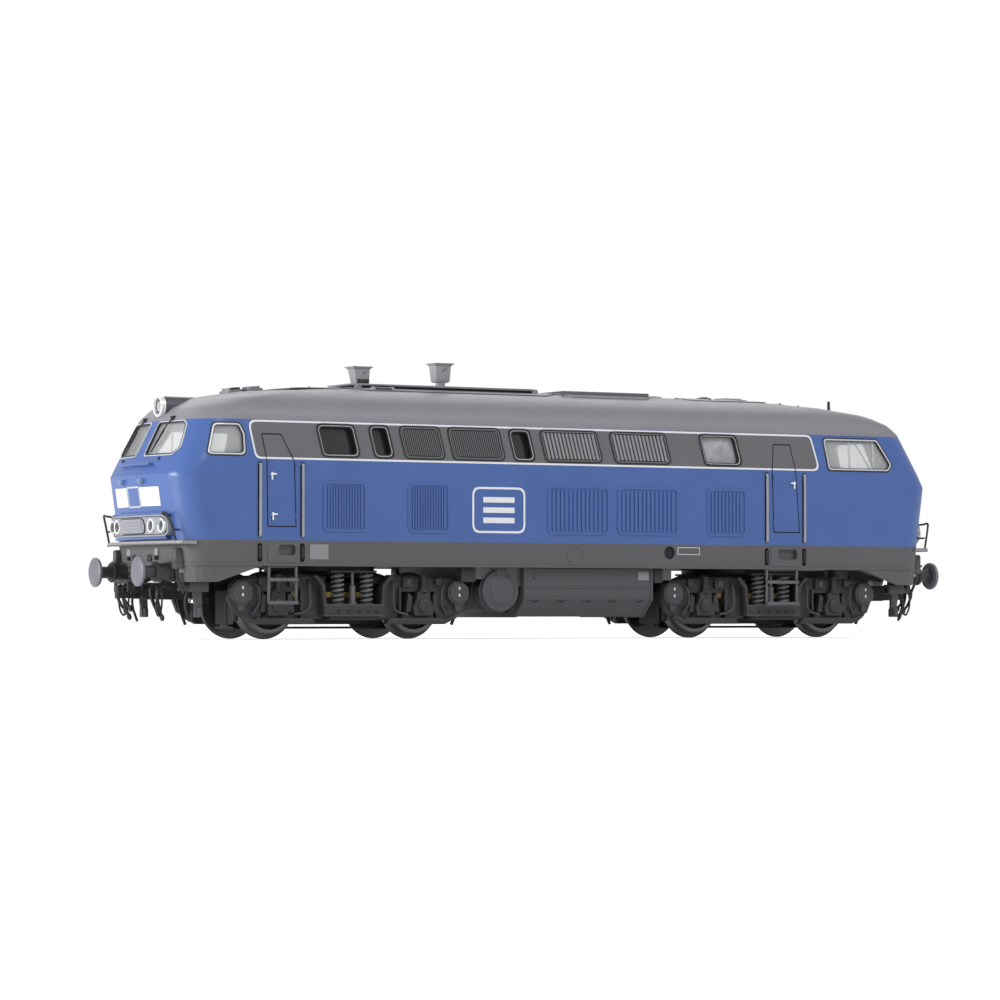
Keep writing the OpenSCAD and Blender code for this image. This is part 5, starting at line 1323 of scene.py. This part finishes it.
def bogies():
    for n, s in ((1, -1), (2, 1)):
        for piece, draw, node_name in (("side_frame_set", bogie_side, "side_frames"),
                                       ("coil_springs", bogie_springs, "springs")):
            b = Build()
            for turn in (0, math.pi):
                draw(b, at(s * PIVOT_X, 0, 0, turn))
            gone = [f"bogie_{n}_{node_name}"]
            b.make(f"bogie_{n}_{piece}", gone, body=f"bogie_{n}")


def wheel_web(b, m):
    """Dark disc of a wheel's outer face with its hub and eight spokes."""
    b.lathe([(-9.5, 1.85), (-9.42, 2.2), (-9.32, 3.0), (-9.34, 4.2), (-9.42, 4.5), (-9.0, 4.55)],
            WHEEL_DISC, m, 56, "Y")
    b.lathe([(-10.12, 0.9), (-10.1, 1.35), (-9.95, 1.6), (-9.3, 1.7)], WHEEL_DISC, m, 32, "Y")
    for w in [i * math.pi / 4 for i in range(8)]:
        out, across = Vector((math.cos(w), math.sin(w))), Vector((-math.sin(w), math.cos(w)))
        spoke = [tuple(out * r + across * half)
                 for r, half in ((3.2, -0.2), (3.2, 0.2), (1.9, 0.3), (1.9, -0.3))]
        b.prism(spoke, -9.55, -9.3, WHEEL_DISC, m, "Y", 0.05)


def wheel_webs():
    for n, x in WHEEL_X.items():
        b = Build()
        for turn in (0, math.pi):
            wheel_web(b, at(x, 0, AXLE_Z, turn))
        b.make(f"wheel_webs_{n}", body=f"wheelset_{n}")


for build in (lamp_unit, running_board, headlight_and_lenses, wipers, rails_and_handles, roof, buffers,
              hoses, ladders_and_guards, tanks, window_panes, bogies, wheel_webs):
    build()


# ------------------------------------------------------------------ studio and camera
def camera_ray(tree, other, camera):
    """A strength that the camera sees as one value and everything else as another."""
    return ramp(tree, node(tree, "ShaderNodeLightPath").outputs["Is Camera Ray"], 0.0, 1.0, other, camera)


def studio():
    """White surroundings, pale floor, three lamps and the camera that was fitted to the photo."""
    world = bpy.data.worlds.new("studio")
    bpy.context.scene.world = world
    world.use_nodes = True
    world.node_tree.nodes["Background"].inputs["Color"].default_value = (1, 1, 1, 1)
    t = world.node_tree
    t.links.new(camera_ray(t, 0.5, 1.0), t.nodes["Background"].inputs["Strength"])
    b = bmesh.new()
    bmesh.ops.create_grid(b, x_segments=8, y_segments=8, size=30.0)
    me = bpy.data.meshes.new("floor")
    b.to_mesh(me)
    b.free()
    floor = bpy.data.objects.new("floor", me)
    floor.location = (0, 0, -0.00095)
    pale = finish_of("pale_floor", (0.9, 0.9, 0.9), 0.9, round_mm=0.0, tone=0.01)
    glow = pale.node_tree.nodes["Principled BSDF"].inputs
    glow["Emission Color"].default_value = (1, 1, 1, 1)
    t = pale.node_tree
    t.links.new(camera_ray(t, 0.08, 0.55), glow["Emission Strength"])
    me.materials.append(pale)
    bpy.context.collection.objects.link(floor)

    def lamp(name, place, target, size, power):
        data = bpy.data.lights.new(name, "AREA")
        data.shape = "RECTANGLE"
        data.size, data.size_y = size
        data.energy = power
        ob = bpy.data.objects.new(name, data)
        ob.location = place
        ob.rotation_euler = (Vector(target) - Vector(place)).to_track_quat("-Z", "Y").to_euler()
        bpy.context.collection.objects.link(ob)

    lamp("key", (0.2, -0.75, 0.75), (0.02, 0, 0.03), (0.9, 0.5), 4.2)
    lamp("front_fill", (-0.9, 0.08, 0.17), (-0.08, 0, 0.03), (0.5, 0.4), 7.0)
    lamp("back", (0.3, 0.7, 0.6), (0, 0, 0.03), (0.8, 0.4), 2.2)
    cam = bpy.data.objects.new("camera", bpy.data.cameras.new("camera"))
    cam.data.sensor_width = 36
    cam.data.lens = 138.5
    cam.data.clip_start, cam.data.clip_end = 0.01, 50
    cam.location = (-0.4003, -0.6852, 0.004)
    cam.rotation_euler = (math.radians(91.7), 0, math.radians(-29.81))
    bpy.context.collection.objects.link(cam)
    bpy.context.scene.camera = cam
    bpy.context.scene.view_settings.view_transform = "Standard"


studio()
